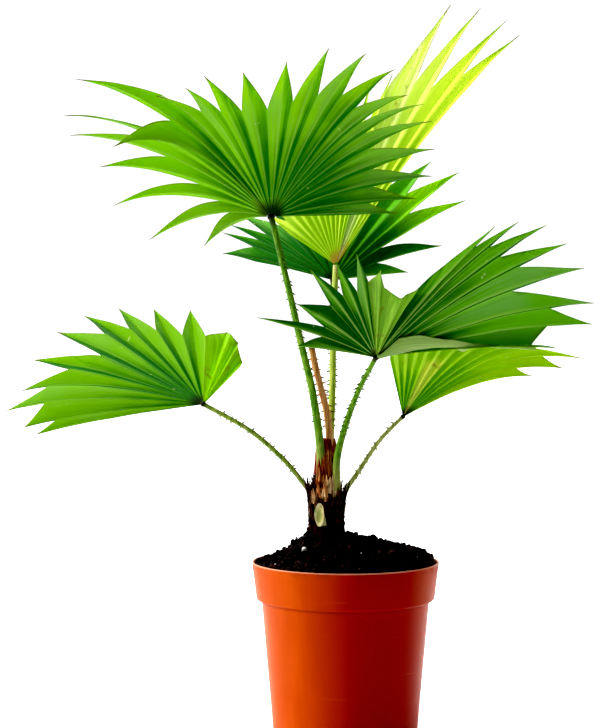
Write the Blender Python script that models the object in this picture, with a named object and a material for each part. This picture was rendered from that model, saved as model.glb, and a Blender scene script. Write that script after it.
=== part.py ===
"""Potted fan palm: a young palm with six pleated fan leaves in a plastic nursery pot.

Metres, +Z up. The origin is the middle of the pot's base, on the floor. The plant is seen
from the front along +Y, with +X to the right. Lengths below are in millimetres and are
turned into metres where a mesh is made.
"""

import bisect
import math
import random

import bpy
import bmesh
import numpy as np
from mathutils import Vector

MM = 0.001
GAP = 0.3                      # clearance between two pieces that touch

# Pot: a 14 cm nursery pot, outer radii and heights
POT_HEIGHT = 130.0
RIM_R = 70.0
COLLAR_FOOT_R = 66.6
COLLAR_FOOT_Z = 102.4
SHOULDER_R = 62.7
SHOULDER_Z = 101.2
BASE_R = 53.8
WALL = 1.6
FLOOR = 2.4
LIP_ROUND = 0.7
POT_SIDES = 48
DRAIN_HOLES = 6
DRAIN_R = 4.0
DRAIN_RING_R = 37.0

# Potting mix: level with the rim at the wall, heaped up towards the trunk
SOIL_FOOT_Z = FLOOR + GAP
SOIL_RIM_Z = 126.5
SOIL_HEAP = 24.0
SOIL_BULGE = 0.75              # under 1, the heap bulges
SOIL_LUMP = 1.7
SOIL_LEAN = 0.045              # the heap lies higher on the right
SOIL_INSET = 0.4               # extra room at the collar's foot, where the wall turns
SOIL_SIDES = 32
SOIL_RINGS = 9

# Trunk: stands in a plain hole in the mix, a little left of the pot's middle
TRUNK_X, TRUNK_Y = -14.5, 0.0
HOLE_FLOOR_Z = 104.0
TRUNK_PROFILE = (              # height, radius
    (HOLE_FLOOR_Z + GAP, 11.5), (118, 12.6), (134, 13.6), (148, 13.6), (158, 13.0),
    (168, 12.8), (177, 12.4), (184, 11.4), (190, 10.0), (195, 8.8),
)
HOLE_R = 15.2
TRUNK_SIDES = 18
SHEATH_PROFILE = ((195 + GAP, 8.3), (203, 8.6), (211, 8.0), (218, 7.0))
SHEATH_SIDES = 14
SHEATH_RAGGED = 4.0            # its torn top edge goes up and down by this much
SCRAPS = (                     # torn scraps on the trunk: turn round it, height, lean, length
    (190, 176, 3.5, 20), (176, 160, 2.5, 16), (350, 170, 5.0, 22), (20, 158, 4.0, 16),
    (240, 150, 3.0, 15), (300, 156, 3.5, 17), (90, 165, 4.0, 20), (130, 172, 3.5, 18),
    (60, 176, 3.0, 18),
)
SCRAP_WIDE = 4.5
SCRAP_SUNK = 2.0               # a scrap's foot lies this deep in the trunk
THORNS_ABOVE_Z = 227.0         # a stalk is clear of the sheath above this height
THORNS_BEYOND_R = 22.0         # and of the trunk this far from its middle

# Leaves
BLADE_THICK = 0.75
PLEAT = 0.52                   # how far a fold's edge rises, as a share of a leaflet's half width
SAG_POWER = 2.5
OUTER_HALF = 0.3               # the outermost half leaflet's width, as a share of the ribs' distance
CURL_IN, CURL_UNDER = 0.45, 0.25  # a curled outer edge turns in and under by these shares
MARGIN_TAPER = 1.25            # 1 tapers an open leaflet straight, more draws its tip out
CLOSED_STEPS = 4               # stations along a leaflet up to the end of its slit
OPEN_STEPS = 4                 # and from there to its tip

# Leaf stalks
STALK_SIDES = 6
STALK_STEPS = 14
STALK_FLAT = 0.82              # a stalk's depth as a share of its width
STALK_TAPER = 0.8              # it has reached its top radius this far up
THORN_PITCH = 7.0
THORN_LONG = 3.2
THORN_WIDE = 2.0
THORN_HOOK = 0.45              # how far a thorn points back, as a share of its length
THORNS_END = 0.86              # the thorns stop this far up a stalk

# Colours
TERRACOTTA = (0.72, 0.13, 0.03)
MIX_BROWN = (0.012, 0.008, 0.006)
BARK_BROWN = (0.030, 0.016, 0.010)
HUSK_BROWN = (0.16, 0.06, 0.03)
DRY_TAN = (0.45, 0.24, 0.09)
CUT_CREAM = (0.62, 0.60, 0.30)
LEAF_GREEN = (0.10, 0.33, 0.02)
YOUNG_GREEN = (0.42, 0.68, 0.03)
STALK_GREEN = (0.20, 0.33, 0.04)

# Each frond: the hub where stalk and blade meet; the way its middle leaflet points (heading
# round from +X, rise above level), how the blade rolls about it and how far from the hub it
# starts. Then for each leaflet, from left to right as seen from the trunk: its turn from the
# middle, its length and the fall of its tip; and for each two neighbours how far out the slit
# between them begins. Last come the stalk's route and its radii at the foot and the top.
FRONDS = {
    "left_high": dict(
        hub=(-55, -40, 386.5), heading=-93, rise=48, roll=2, hub_r=3.0,
        turns=(88, 77, 64, 53, 42, 36, 32, 27, 21, 14, 6, -4, -13, -18, -24, -31, -34, -39, -45,
               -51, -60, -76, -88),
        lengths=(92, 108, 130, 148, 173, 187, 188, 200, 201, 196, 176, 168, 169, 166, 174, 235,
                 182, 211, 187, 149, 126, 90, 49),
        falls=(2, 8, 18, 24, 36, 42, 42, 40, 36, 34, 30, 30, 30, 32, 38, 60, 66, 54, 42, 34, 38,
               32, 22),
        slits=(0.75, 0.72, 0.68, 0.65, 0.65, 0.68, 0.72, 0.75, 0.73, 0.73, 0.75, 0.75, 0.78, 0.78,
               0.8, 0.62, 0.6, 0.58, 0.6, 0.45, 0.36, 0.42),
        route=((-19, -5, 182), (-18.6, -7.2, 210.8), (-24.5, -12, 255.9), (-32.2, -19, 289.5),
               (-43.1, -30, 337.3)),
        stalk_r=(3.5, 2.4), color=LEAF_GREEN, stalk_color=STALK_GREEN),
    "left_low": dict(
        hub=(-107.7, 30, 246), heading=128, rise=21, roll=-21, hub_r=2.2,
        turns=(62, 54, 38, 25, 17, 6, -4, -11, -19, -29, -43, -51, -62),
        lengths=(128, 138, 164, 172, 181, 191, 205, 189, 170, 155, 111, 91, 64),
        falls=(6, 10, 21, 26, 15, 10, 14, 8, 6, 4, 2, 0, 0),
        slits=(0.84, 0.82, 0.8, 0.74, 0.61, 0.71, 0.69, 0.66, 0.62, 0.66, 0.95, 0.95),
        route=((-22.5, 2, 168), (-24.2, 2.2, 177), (-32.8, 4, 189.8), (-47.5, 9, 206.6),
               (-72, 18, 226.7)),
        stalk_r=(2.1, 1.9), color=LEAF_GREEN, stalk_color=STALK_GREEN),
    "front_right": dict(
        hub=(20, -75, 285.6), heading=-61, rise=40, roll=-2, hub_r=2.5, curled=True,
        turns=(78, 66, 53, 36, 25, 16, 10, 7, -3, -10, -23, -30, -36, -43, -54, -66, -78),
        lengths=(121, 164, 166, 173, 178, 183, 175, 159, 82, 73, 112, 140, 140, 144, 113, 126, 72),
        falls=(6, 16, 22, 24, 22, 20, 16, 10, 4, 4, 6, 8, 8, 8, 6, 6, 2),
        slits=(0.9, 0.81, 0.65, 0.75, 0.73, 0.78, 0.8, 0.45, 0.92, 0.8, 0.72, 0.62, 0.62, 0.6, 0.5,
               0.45),
        route=((-6.4, -8.6, 184), (-6.6, -11, 206.1), (-1.8, -20, 228.5), (7.7, -43, 258.3)),
        stalk_r=(3.2, 2.0), color=LEAF_GREEN, stalk_color=STALK_GREEN),
    "right_low": dict(
        hub=(43.3, 10, 237.7), heading=44, rise=43, roll=8, hub_r=1.9,
        turns=(39, 32, 25, 18, 10, 2, -6, -14, -21, -29, -34, -39),
        lengths=(98, 104, 108, 112, 118, 124, 130, 138, 152, 169, 142, 110),
        falls=(0, 2, 5, 8, 12, 18, 26, 36, 44, 50, 36, 20),
        slits=(0.7, 0.72, 0.74, 0.76, 0.78, 0.8, 0.8, 0.8, 0.8, 0.82, 0.78),
        route=((-2.8, -1, 168), (-1.1, 0, 180.4), (8.6, 3, 195.1), (26, 7, 220.3)),
        stalk_r=(2.2, 1.7), color=LEAF_GREEN, stalk_color=STALK_GREEN),
    "young_top": dict(
        hub=(-7.1, 8, 351.4), heading=97, rise=67, roll=-41, hub_r=2.3,
        turns=(44, 37, 31, 24, 18, 11, 5, -2, -8, -15, -21, -28, -34, -40, -44),
        lengths=(90, 108, 122, 132, 138, 142, 146, 150, 154, 160, 172, 255, 258, 257, 252),
        falls=(3, 4, 6, 7, 8, 9, 10, 11, 12, 14, 18, 40, 41, 42, 42),
        slits=(0.62, 0.62, 0.62, 0.62, 0.62, 0.62, 0.62, 0.62, 0.64, 0.66, 0.72, 0.76, 0.76, 0.86),
        route=((-12, 4.2, 184), (-11.1, 4.4, 221.3), (-9.7, 5, 260.2), (-9, 6.5, 308.1)),
        stalk_r=(3.0, 2.5), color=YOUNG_GREEN, stalk_color=YOUNG_GREEN),
    "back": dict(
        hub=(-9.1, 25, 340.2), heading=59, rise=46, roll=3, hub_r=2.5,
        turns=(74, 65, 61, 56, 45, 31, 16, 1, -11, -23, -36, -55, -74),
        lengths=(116, 136, 137, 140, 138, 138, 138, 138, 151, 148, 127, 89, 60),
        falls=(6, 8, 8, 8, 10, 10, 10, 10, 12, 12, 10, 8, 4),
        slits=(0.72, 0.72, 0.7, 0.66, 0.66, 0.66, 0.66, 0.7, 0.7, 0.64, 0.55, 0.64),
        route=((-15, 11.2, 184), (-11.4, 12, 220.7), (-9.9, 15, 259.7), (-9.1, 20, 307.8)),
        stalk_r=(2.4, 2.0), color=LEAF_GREEN, stalk_color=STALK_GREEN),
}

# The dry stalk of a frond that was cut away, and a stub cut close to the trunk
DEAD_ROUTE = (
    (-12.4, -2.8, 186), (-12, -3.4, 218.9), (-13.5, -4, 238.3), (-17.3, -5, 255.5),
    (-22.1, -6.5, 274.2), (-25.8, -8, 292.1),
)
DEAD_R = (3.0, 2.4)
STUB_ROUTE = ((-17.8, -12.2, 152), (-18.2, -14.8, 160), (-19.0, -16.6, 168.5))
STUB_R = (3.4, 3.4)


def point(values):
    """A place given in millimetres, as a vector in metres."""
    return Vector(values) * MM


def clear_scene():
    for item in list(bpy.data.objects):
        bpy.data.objects.remove(item, do_unlink=True)


def principled(name, color, roughness, metallic=0.0):
    material = bpy.data.materials.new(name)
    material.use_nodes = True
    shader = material.node_tree.nodes["Principled BSDF"]
    shader.inputs["Base Color"].default_value = (*color, 1.0)
    shader.inputs["Roughness"].default_value = roughness
    shader.inputs["Metallic"].default_value = metallic
    material.diffuse_color = (*color, 1.0)
    return material


def add_piece(name, mesh, material, smooth_angle=30.0):
    """Put a mesh in the scene as a named piece, shaded smooth but for its sharp edges."""
    mesh.materials.clear()
    mesh.materials.append(material)
    mesh.shade_smooth()
    mesh.set_sharp_from_angle(angle=math.radians(smooth_angle))
    piece = bpy.data.objects.new(name, mesh)
    bpy.context.scene.collection.objects.link(piece)
    return piece


def mesh_from(name, verts, faces):
    """A mesh from points in millimetres, with its faces turned outwards."""
    mesh = bpy.data.meshes.new(name)
    mesh.from_pydata([Vector(v) * MM for v in verts], [], faces)
    work = bmesh.new()
    work.from_mesh(mesh)
    bmesh.ops.recalc_face_normals(work, faces=work.faces)
    work.to_mesh(mesh)
    work.free()
    return mesh


def baked(piece):
    """Freeze a piece's modifiers into a plain mesh."""
    bpy.context.view_layer.update()
    graph = bpy.context.evaluated_depsgraph_get()
    mesh = bpy.data.meshes.new_from_object(piece.evaluated_get(graph))
    piece.modifiers.clear()
    piece.data = mesh
    return piece


def as_cutter(piece):
    piece.hide_render = True
    piece.display_type = "WIRE"
    return piece


def subtract(target, cutters):
    """Cut pieces out of a target one by one, then drop the cutters."""
    for cutter in cutters:
        cut = target.modifiers.new("cut", "BOOLEAN")
        cut.operation = "DIFFERENCE"
        cut.object = cutter
        baked(target)
        bpy.data.objects.remove(cutter, do_unlink=True)


def unite(target, extras):
    """Fuse many small pieces to a target in one Boolean union, then drop them."""
    group = bpy.data.collections.new("extras")
    bpy.context.scene.collection.children.link(group)
    for extra in extras:
        bpy.context.scene.collection.objects.unlink(extra)
        group.objects.link(extra)
    union = target.modifiers.new("union", "BOOLEAN")
    union.operation = "UNION"
    union.operand_type = "COLLECTION"
    union.collection = group
    baked(target)
    for extra in extras:
        bpy.data.objects.remove(extra, do_unlink=True)
    bpy.data.collections.remove(group)


def turned(name, profile, sides):
    """Spin a closed profile of (radius, height) round the pot's axis."""
    work = bmesh.new()
    ring = [work.verts.new(point((radius, 0, height))) for radius, height in profile]
    edges = [work.edges.new((a, b)) for a, b in zip(ring, ring[1:])]
    bmesh.ops.spin(work, geom=ring + edges, cent=(0, 0, 0), axis=(0, 0, 1), angle=math.tau,
                   steps=sides, use_merge=True)
    bmesh.ops.remove_doubles(work, verts=work.verts, dist=1e-6)
    bmesh.ops.recalc_face_normals(work, faces=work.faces)
    mesh = bpy.data.meshes.new(name)
    work.to_mesh(mesh)
    work.free()
    return mesh


def wall_radius(height):
    """The pot's outer radius on its body, below the collar."""
    return BASE_R + (SHOULDER_R - BASE_R) * height / SHOULDER_Z


def make_pot():
    inner_step_z = SHOULDER_Z - WALL
    profile = (
        (0.0, 0.0), (BASE_R - 1.0, 0.0), (BASE_R, 1.0),
        (SHOULDER_R, SHOULDER_Z), (COLLAR_FOOT_R, COLLAR_FOOT_Z),
        (RIM_R, POT_HEIGHT - LIP_ROUND), (RIM_R - LIP_ROUND * 0.4, POT_HEIGHT),
        (RIM_R - WALL, POT_HEIGHT), (COLLAR_FOOT_R - WALL, COLLAR_FOOT_Z),
        (SHOULDER_R - WALL, inner_step_z), (wall_radius(FLOOR) - WALL, FLOOR), (0.0, FLOOR),
    )
    plastic = principled("terracotta plastic", TERRACOTTA, 0.35)
    pot = add_piece("pot", turned("pot", profile, POT_SIDES), plastic)
    cutters = []
    for k in range(DRAIN_HOLES):
        angle = math.tau * (k + 0.5) / DRAIN_HOLES
        middle = point((DRAIN_RING_R * math.cos(angle), DRAIN_RING_R * math.sin(angle), FLOOR / 2))
        bpy.ops.mesh.primitive_cylinder_add(
            vertices=10, radius=DRAIN_R * MM, depth=4 * FLOOR * MM, location=middle)
        cutters.append(as_cutter(bpy.context.object))
    subtract(pot, cutters)
    return pot


def lump(a, b, seed):
    """A smooth, repeatable bumpiness between -1 and 1 for a place (a, b)."""
    return (math.sin(1.7 * a + 2.3 * b + seed) + math.sin(3.1 * a - 1.9 * b + 2.0 * seed)
            + 0.7 * math.sin(5.3 * a + 4.1 * b + 3.0 * seed)) / 2.7


def make_soil():
    """Potting mix: a filling with a blind hole for the trunk and a lumpy heap on top."""
    foot_r = wall_radius(SOIL_FOOT_Z) - WALL - GAP
    step_r = SHOULDER_R - WALL - GAP
    collar_r = COLLAR_FOOT_R - WALL - GAP - SOIL_INSET
    slope = (RIM_R - COLLAR_FOOT_R) / (POT_HEIGHT - COLLAR_FOOT_Z)
    rim_r = RIM_R - WALL - GAP - (POT_HEIGHT - SOIL_RIM_Z) * slope
    verts = [(0, 0, SOIL_FOOT_Z)]
    rings = []

    def add_ring(places):
        rings.append(range(len(verts), len(verts) + SOIL_SIDES))
        verts.extend(places)

    angles = [math.tau * k / SOIL_SIDES for k in range(SOIL_SIDES)]
    step_z = SHOULDER_Z - WALL
    for radius, height in ((foot_r, SOIL_FOOT_Z), (step_r, step_z - GAP),
                           (collar_r, COLLAR_FOOT_Z + GAP), (rim_r, SOIL_RIM_Z)):
        add_ring([(radius * math.cos(a), radius * math.sin(a), height) for a in angles])
    for k in range(1, SOIL_RINGS + 1):
        share = k / SOIL_RINGS
        row = []
        for a in angles:
            x = (1 - share) * rim_r * math.cos(a) + share * (TRUNK_X + HOLE_R * math.cos(a))
            y = (1 - share) * rim_r * math.sin(a) + share * (TRUNK_Y + HOLE_R * math.sin(a))
            rough = SOIL_LUMP * lump(0.11 * x, 0.11 * y, 1.3) * min(1.0, 2.2 * share)
            heap = SOIL_HEAP * share ** SOIL_BULGE + SOIL_LEAN * x * (1 - share)
            row.append((x, y, SOIL_RIM_Z + heap + rough))
        add_ring(row)
    add_ring([(TRUNK_X + HOLE_R * math.cos(a), TRUNK_Y + HOLE_R * math.sin(a), HOLE_FLOOR_Z)
              for a in angles])
    verts.append((TRUNK_X, TRUNK_Y, HOLE_FLOOR_Z))
    last = len(verts) - 1

    faces = []
    for k in range(SOIL_SIDES):
        n = (k + 1) % SOIL_SIDES
        faces.append((0, rings[0][n], rings[0][k]))
        for low, high in zip(rings, rings[1:]):
            faces.append((low[k], low[n], high[n], high[k]))
        faces.append((rings[-1][k], rings[-1][n], last))
    mix = principled("potting mix", MIX_BROWN, 0.95)
    return add_piece("soil", mesh_from("soil", verts, faces), mix, 80)


def stacked(name, profile, sides, ripple, seed, ragged=0.0):
    """A ribbed upright body round the trunk's axis, from (height, radius) pairs."""
    verts = [(TRUNK_X, TRUNK_Y, profile[0][0])]
    for level, (height, radius) in enumerate(profile):
        for k in range(sides):
            a = math.tau * k / sides
            r = radius * (1 + ripple * lump(3.0 * a / math.tau * 6, 0.4 * level, seed) * min(1, level))
            z = height + (ragged * (k % 2) if level == len(profile) - 1 else 0.0)
            verts.append((TRUNK_X + r * math.cos(a), TRUNK_Y + r * math.sin(a), z))
    verts.append((TRUNK_X, TRUNK_Y, profile[-1][0]))
    faces = []
    for k in range(sides):
        n = (k + 1) % sides
        faces.append((0, 1 + n, 1 + k))
        for level in range(len(profile) - 1):
            low, high = 1 + level * sides, 1 + (level + 1) * sides
            faces.append((low + k, low + n, high + n, high + k))
        top = 1 + (len(profile) - 1) * sides
        faces.append((top + k, top + n, len(verts) - 1))
    return mesh_from(name, verts, faces)


def spike(name, foot, tip, width):
    """A pointed three-sided scrap or thorn whose foot is sunk in what it grows from."""
    foot, tip = Vector(foot), Vector(tip)
    along = (tip - foot).normalized()
    across = along.cross(Vector((0.31, 0.17, 0.93))).normalized()
    depth = along.cross(across)
    verts = [foot + (across * math.cos(a) + depth * math.sin(a)) * width / 2
             for a in (math.tau * k / 3 for k in range(3))]
    mesh = mesh_from(name, verts + [tip], [(0, 2, 1), (0, 1, 3), (1, 2, 3), (2, 0, 3)])
    piece = bpy.data.objects.new(name, mesh)
    bpy.context.scene.collection.objects.link(piece)
    return piece


def route_point(route, t):
    """A point a share t of the way along a smooth curve through every point of a route."""
    places = [Vector(p) for p in route]
    knots = [0.0]
    for a, b in zip(places, places[1:]):
        knots.append(knots[-1] + (b - a).length)
    last = len(places) - 1
    at = t * knots[last]
    k = min(bisect.bisect_right(knots, at), last) - 1

    def slope(i):
        low, high = max(i - 1, 0), min(i + 1, last)
        return (places[high] - places[low]) / (knots[high] - knots[low])

    span = knots[k + 1] - knots[k]
    x = (at - knots[k]) / span
    return (places[k] * (1 - x) ** 2 * (1 + 2 * x) + places[k + 1] * x * x * (3 - 2 * x)
            + (slope(k) * x * (1 - x) ** 2 - slope(k + 1) * x * x * (1 - x)) * span)


def stalk_frame(route, t):
    """Where a stalk's middle is, and its directions along, across its edges and out of its face."""
    step = min(int(t * STALK_STEPS), STALK_STEPS - 1)
    low, high = (route_point(route, (step + d) / STALK_STEPS) for d in (0, 1))
    here = low.lerp(high, t * STALK_STEPS - step)
    along = (route_point(route, min(1, t + 0.01)) - route_point(route, max(0, t - 0.01))).normalized()
    away = Vector((TRUNK_X, TRUNK_Y, here.z)) - here
    if away.length < 6:
        away = Vector((TRUNK_X, TRUNK_Y, 0)) - Vector((route[-1][0], route[-1][1], 0))
    across = along.cross(away).normalized()
    return here, along, across, across.cross(along).normalized()


def stalk_radius(t, radii):
    return radii[0] + (radii[1] - radii[0]) * min(1.0, t / STALK_TAPER)


def leaves_trunk_at(route):
    """The share of a stalk's length at which it is clear of the trunk and the sheath."""
    for k in range(100):
        here = route_point(route, k / 100)
        if here.z > THORNS_ABOVE_Z or math.hypot(here.x - TRUNK_X, here.y - TRUNK_Y) > THORNS_BEYOND_R:
            return k / 100
    return 1.0


def tube(name, route, radii, grow=0.0):
    """A stalk's body, wider than it is deep, with its edges at the two sides."""
    verts, faces = [], []
    for m in range(STALK_STEPS + 1):
        t = m / STALK_STEPS
        here, along, across, face = stalk_frame(route, t)
        radius = stalk_radius(t, radii) + grow
        for k in range(STALK_SIDES):
            a = math.tau * k / STALK_SIDES
            verts.append(here + across * radius * math.cos(a) + face * radius * STALK_FLAT * math.sin(a))
    n = STALK_SIDES
    for m in range(STALK_STEPS):
        for k in range(n):
            a, b = m * n + k, m * n + (k + 1) % n
            faces.append((a, b, b + n, a + n))
    faces.append(tuple(range(n))[::-1])
    faces.append(tuple(range(STALK_STEPS * n, STALK_STEPS * n + n)))
    return mesh_from(name, verts, faces)


def make_stalk(name, route, radii, material):
    """A stalk with hooked thorns along both edges, fused to it."""
    stalk = add_piece(name, tube(name, route, radii), material, 50)
    start = leaves_trunk_at(route)
    line = [route_point(route, k / STALK_STEPS) for k in range(STALK_STEPS + 1)]
    length = sum((b - a).length for a, b in zip(line, line[1:]))
    count = int(length * (THORNS_END - start) / THORN_PITCH)
    draw = random.Random(name)
    thorns = []
    for k in range(count):
        for side in (-1, 1):
            share = (k + 0.5 + 0.25 * side + draw.uniform(-0.2, 0.2)) / count
            t = start + (THORNS_END - start) * share
            here, along, across, _ = stalk_frame(route, t)
            radius = stalk_radius(t, radii)
            long = THORN_LONG * draw.uniform(0.8, 1.15)
            foot = here + across * side * radius / 2
            tip = here + across * side * (radius + long) - along * long * THORN_HOOK
            thorns.append(spike("thorn", foot, tip, THORN_WIDE))
    unite(stalk, thorns)
    return stalk


def leaf_frame(heading, rise, roll):
    """A blade's directions: out along its middle leaflet, to its left, and out of its upper face."""
    h, r, k = (math.radians(a) for a in (heading, rise, roll))
    out = Vector((math.cos(h) * math.cos(r), math.sin(h) * math.cos(r), math.sin(r)))
    level = Vector((-math.sin(h), math.cos(h), 0))
    face = out.cross(level)
    return out, level * math.cos(k) + face * math.sin(k), face * math.cos(k) - level * math.sin(k)


class Fan:
    """A palm leaf's blade: leaflets that share their edges near the hub and part further out."""

    def __init__(self, hub, heading, rise, roll, hub_r, turns, lengths, falls, slits,
                 curled=False, **_):
        self.hub, self.hub_r = Vector(hub), hub_r
        self.out, self.side, self.face = leaf_frame(heading, rise, roll)
        self.turns, self.lengths, self.falls, self.curled = turns, lengths, falls, curled
        self.slits = (slits[0], *slits, slits[-1])
        self.count = len(lengths)

    def rib(self, k, t):
        """A point on leaflet k's rib, from the hub (t = 0) to its tip (t = 1)."""
        turn = math.radians(self.turns[k])
        way = self.out * math.cos(turn) + self.side * math.sin(turn)
        reach = self.hub_r + (self.lengths[k] - self.hub_r) * t
        return self.hub + way * reach - Vector((0, 0, 1)) * self.falls[k] * t ** SAG_POWER

    def edge(self, j, t):
        """A point on the fold between leaflets j - 1 and j, or on the fan's outer edge."""
        if j in (0, self.count):
            near, far = (0, 1) if j == 0 else (j - 1, j - 2)
            a, b = self.rib(near, t), self.rib(far, t)
            wide = (a - b).length
            if j == 0 and self.curled:
                return a + (b - a) * CURL_IN - self.face * CURL_UNDER * wide
            return a + (a - b) * OUTER_HALF + self.face * PLEAT * OUTER_HALF * wide
        a, b = self.rib(j - 1, t), self.rib(j, t)
        return (a + b) / 2 + self.face * PLEAT * (a - b).length / 2

    def station(self, j, m):
        """The m-th station along edge j, as a share of the leaflets' length."""
        split = self.slits[j]
        if m <= CLOSED_STEPS:
            return split * m / CLOSED_STEPS
        return split + (1 - split) * (m - CLOSED_STEPS) / OPEN_STEPS

    def down(self, curve, k, t):
        """From the upper face to the lower one, square to a curve of the blade."""
        along = (curve(k, min(1, t + 0.01)) - curve(k, max(0, t - 0.01))).normalized()
        return -(self.face - along * along.dot(self.face)).normalized() * BLADE_THICK

    def mesh(self, name):
        steps = CLOSED_STEPS + OPEN_STEPS
        verts, faces = [], []

        def add(top, down):
            verts.extend((top, top + down))
            return len(verts) - 2

        shared = {}
        for j in range(self.count + 1):
            for m in range(CLOSED_STEPS + 1):
                t = self.station(j, m)
                shared[j, m] = add(self.edge(j, t), self.down(self.edge, j, t))

        def skin(a, b, c):
            faces.append((a, b, c))
            faces.append((c + 1, b + 1, a + 1))

        def wall(a, b):
            faces.append((a, a + 1, b + 1))
            faces.append((a, b + 1, b))

        for k in range(self.count):
            ribs = []
            for m in range(steps + 1):
                t = (self.station(k, m) + self.station(k + 1, m)) / 2
                ribs.append(add(self.rib(k, t), self.down(self.rib, k, t)))
            for side, j in ((0, k), (1, k + 1)):
                line = [shared[j, m] for m in range(CLOSED_STEPS + 1)]
                for m in range(CLOSED_STEPS + 1, steps):
                    t = self.station(j, m)
                    x = (t - self.slits[j]) / (1 - self.slits[j])
                    rib = self.rib(k, t)
                    top = rib + (self.edge(j, t) - rib) * (1 - x) ** MARGIN_TAPER
                    line.append(add(top, self.down(self.rib, k, t)))
                for m in range(steps):
                    if m == steps - 1:
                        skin(*((line[m], ribs[m]) if side else (ribs[m], line[m])), ribs[m + 1])
                    elif side:
                        skin(line[m], ribs[m], ribs[m + 1])
                        skin(line[m], ribs[m + 1], line[m + 1])
                    else:
                        skin(ribs[m], line[m], line[m + 1])
                        skin(ribs[m], line[m + 1], ribs[m + 1])
                outer = j in (0, self.count)
                first = 0 if outer else CLOSED_STEPS
                rim = line + [ribs[-1]]
                for m in range(first, steps):
                    wall(*((rim[m], rim[m + 1]) if side else (rim[m + 1], rim[m])))
                wall(*((ribs[0], line[0]) if side else (line[0], ribs[0])))
        return mesh_from(name, verts, faces)


def make_plant():
    """Trunk, sheath, stalks and blades, with a socket in the trunk for each stalk."""
    bark = principled("palm fibre", BARK_BROWN, 0.9)
    husk = principled("leaf sheath fibre", HUSK_BROWN, 0.85)
    dry = principled("dry stalk", DRY_TAN, 0.7)
    fresh = principled("cut stalk", CUT_CREAM, 0.6)

    trunk_mesh = stacked("trunk", TRUNK_PROFILE, TRUNK_SIDES, 0.07, 0.7)
    trunk = add_piece("trunk", trunk_mesh, bark, 40)
    sheath_mesh = stacked("leaf_sheath", SHEATH_PROFILE, SHEATH_SIDES, 0.06, 2.1, SHEATH_RAGGED)
    sheath = add_piece("leaf_sheath", sheath_mesh, husk, 40)
    heights, radii = zip(*TRUNK_PROFILE)
    scraps = []
    for turn, height, lean, long in SCRAPS:
        a = math.radians(turn)
        way = Vector((math.cos(a), math.sin(a), 0))
        radius = float(np.interp(height, heights, radii)) - SCRAP_SUNK
        foot = Vector((TRUNK_X, TRUNK_Y, height)) + way * radius
        tip = foot + way * (lean + SCRAP_SUNK) + Vector((0, 0, long))
        scraps.append(spike("scrap", foot, tip, SCRAP_WIDE))
    unite(trunk, scraps)

    routes = {name: tuple(frond["route"]) + (tuple(frond["hub"]),) for name, frond in FRONDS.items()}
    for host in (trunk, sheath):
        sockets = [(routes[name], frond["stalk_r"]) for name, frond in FRONDS.items()]
        sockets += [(DEAD_ROUTE, DEAD_R), (STUB_ROUTE, STUB_R)]
        cutters = []
        for route, radii in sockets:
            mesh = tube("socket", route, radii, GAP)
            cutter = bpy.data.objects.new("socket", mesh)
            bpy.context.scene.collection.objects.link(cutter)
            cutters.append(as_cutter(cutter))
        subtract(host, cutters)

    make_stalk("dead_stalk", DEAD_ROUTE, DEAD_R, dry)
    add_piece("cut_stub", tube("cut_stub", STUB_ROUTE, STUB_R), fresh)
    for name, frond in FRONDS.items():
        green = principled(name + " stalk green", frond["stalk_color"], 0.5)
        leaf = principled(name + " leaf green", frond["color"], 0.4)
        make_stalk("stalk_" + name, routes[name], frond["stalk_r"], green)
        add_piece("blade_" + name, Fan(**frond).mesh("blade_" + name), leaf)


def main():
    clear_scene()
    make_pot()
    make_soil()
    make_plant()


main()
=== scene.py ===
# %% [markdown]
# # A potted umbrella palm
# This lesson dresses a plain CAD model of a young fan palm in a nursery pot. The CAD says where
# each piece is and how big it is. Here each piece gets the finer shape and the finish of the real
# one: pleated leaves that let light through, thorny stalks, a fibrous trunk and crumbly soil.

# %% Load the fixed frame
import math
import random

import bmesh
import bpy
import numpy as np
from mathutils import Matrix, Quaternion, Vector


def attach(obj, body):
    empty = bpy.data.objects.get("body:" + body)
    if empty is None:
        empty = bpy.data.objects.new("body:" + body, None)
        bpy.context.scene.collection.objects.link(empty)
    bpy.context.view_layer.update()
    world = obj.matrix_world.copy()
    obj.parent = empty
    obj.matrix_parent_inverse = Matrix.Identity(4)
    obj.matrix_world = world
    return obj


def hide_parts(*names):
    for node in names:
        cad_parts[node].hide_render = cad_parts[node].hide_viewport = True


MM = 0.001
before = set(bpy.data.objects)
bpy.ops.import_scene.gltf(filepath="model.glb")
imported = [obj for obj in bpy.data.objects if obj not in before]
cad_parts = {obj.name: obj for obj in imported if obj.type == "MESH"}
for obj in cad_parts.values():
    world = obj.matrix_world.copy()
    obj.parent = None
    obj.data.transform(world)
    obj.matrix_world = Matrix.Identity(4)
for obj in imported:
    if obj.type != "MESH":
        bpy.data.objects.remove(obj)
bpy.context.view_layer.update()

# %% [markdown]
# ## The camera
# The photo was taken from almost level with the leaves, a little above the pot, with a long lens.
# A camera placed 1.6 m away and tilted down by 2.4 degrees sees the pot's rim as the same thin
# ellipse. Blender turns a camera from looking straight down, so 90 degrees is level.

# %% Camera
CAMERA_PLACE = (-0.034, -1.6, 0.3439)
CAMERA_TILT = 2.372
CAMERA_LENS = 106.2


def linked_object(name, data):
    item = bpy.data.objects.new(name, data)
    bpy.context.scene.collection.objects.link(item)
    return item


camera = linked_object("camera", bpy.data.cameras.new("camera"))
camera.data.lens = CAMERA_LENS
camera.location = CAMERA_PLACE
camera.rotation_euler = (math.radians(90 - CAMERA_TILT), 0, 0)
bpy.context.scene.camera = camera
print("camera looks along +Y from", CAMERA_PLACE)

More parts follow.
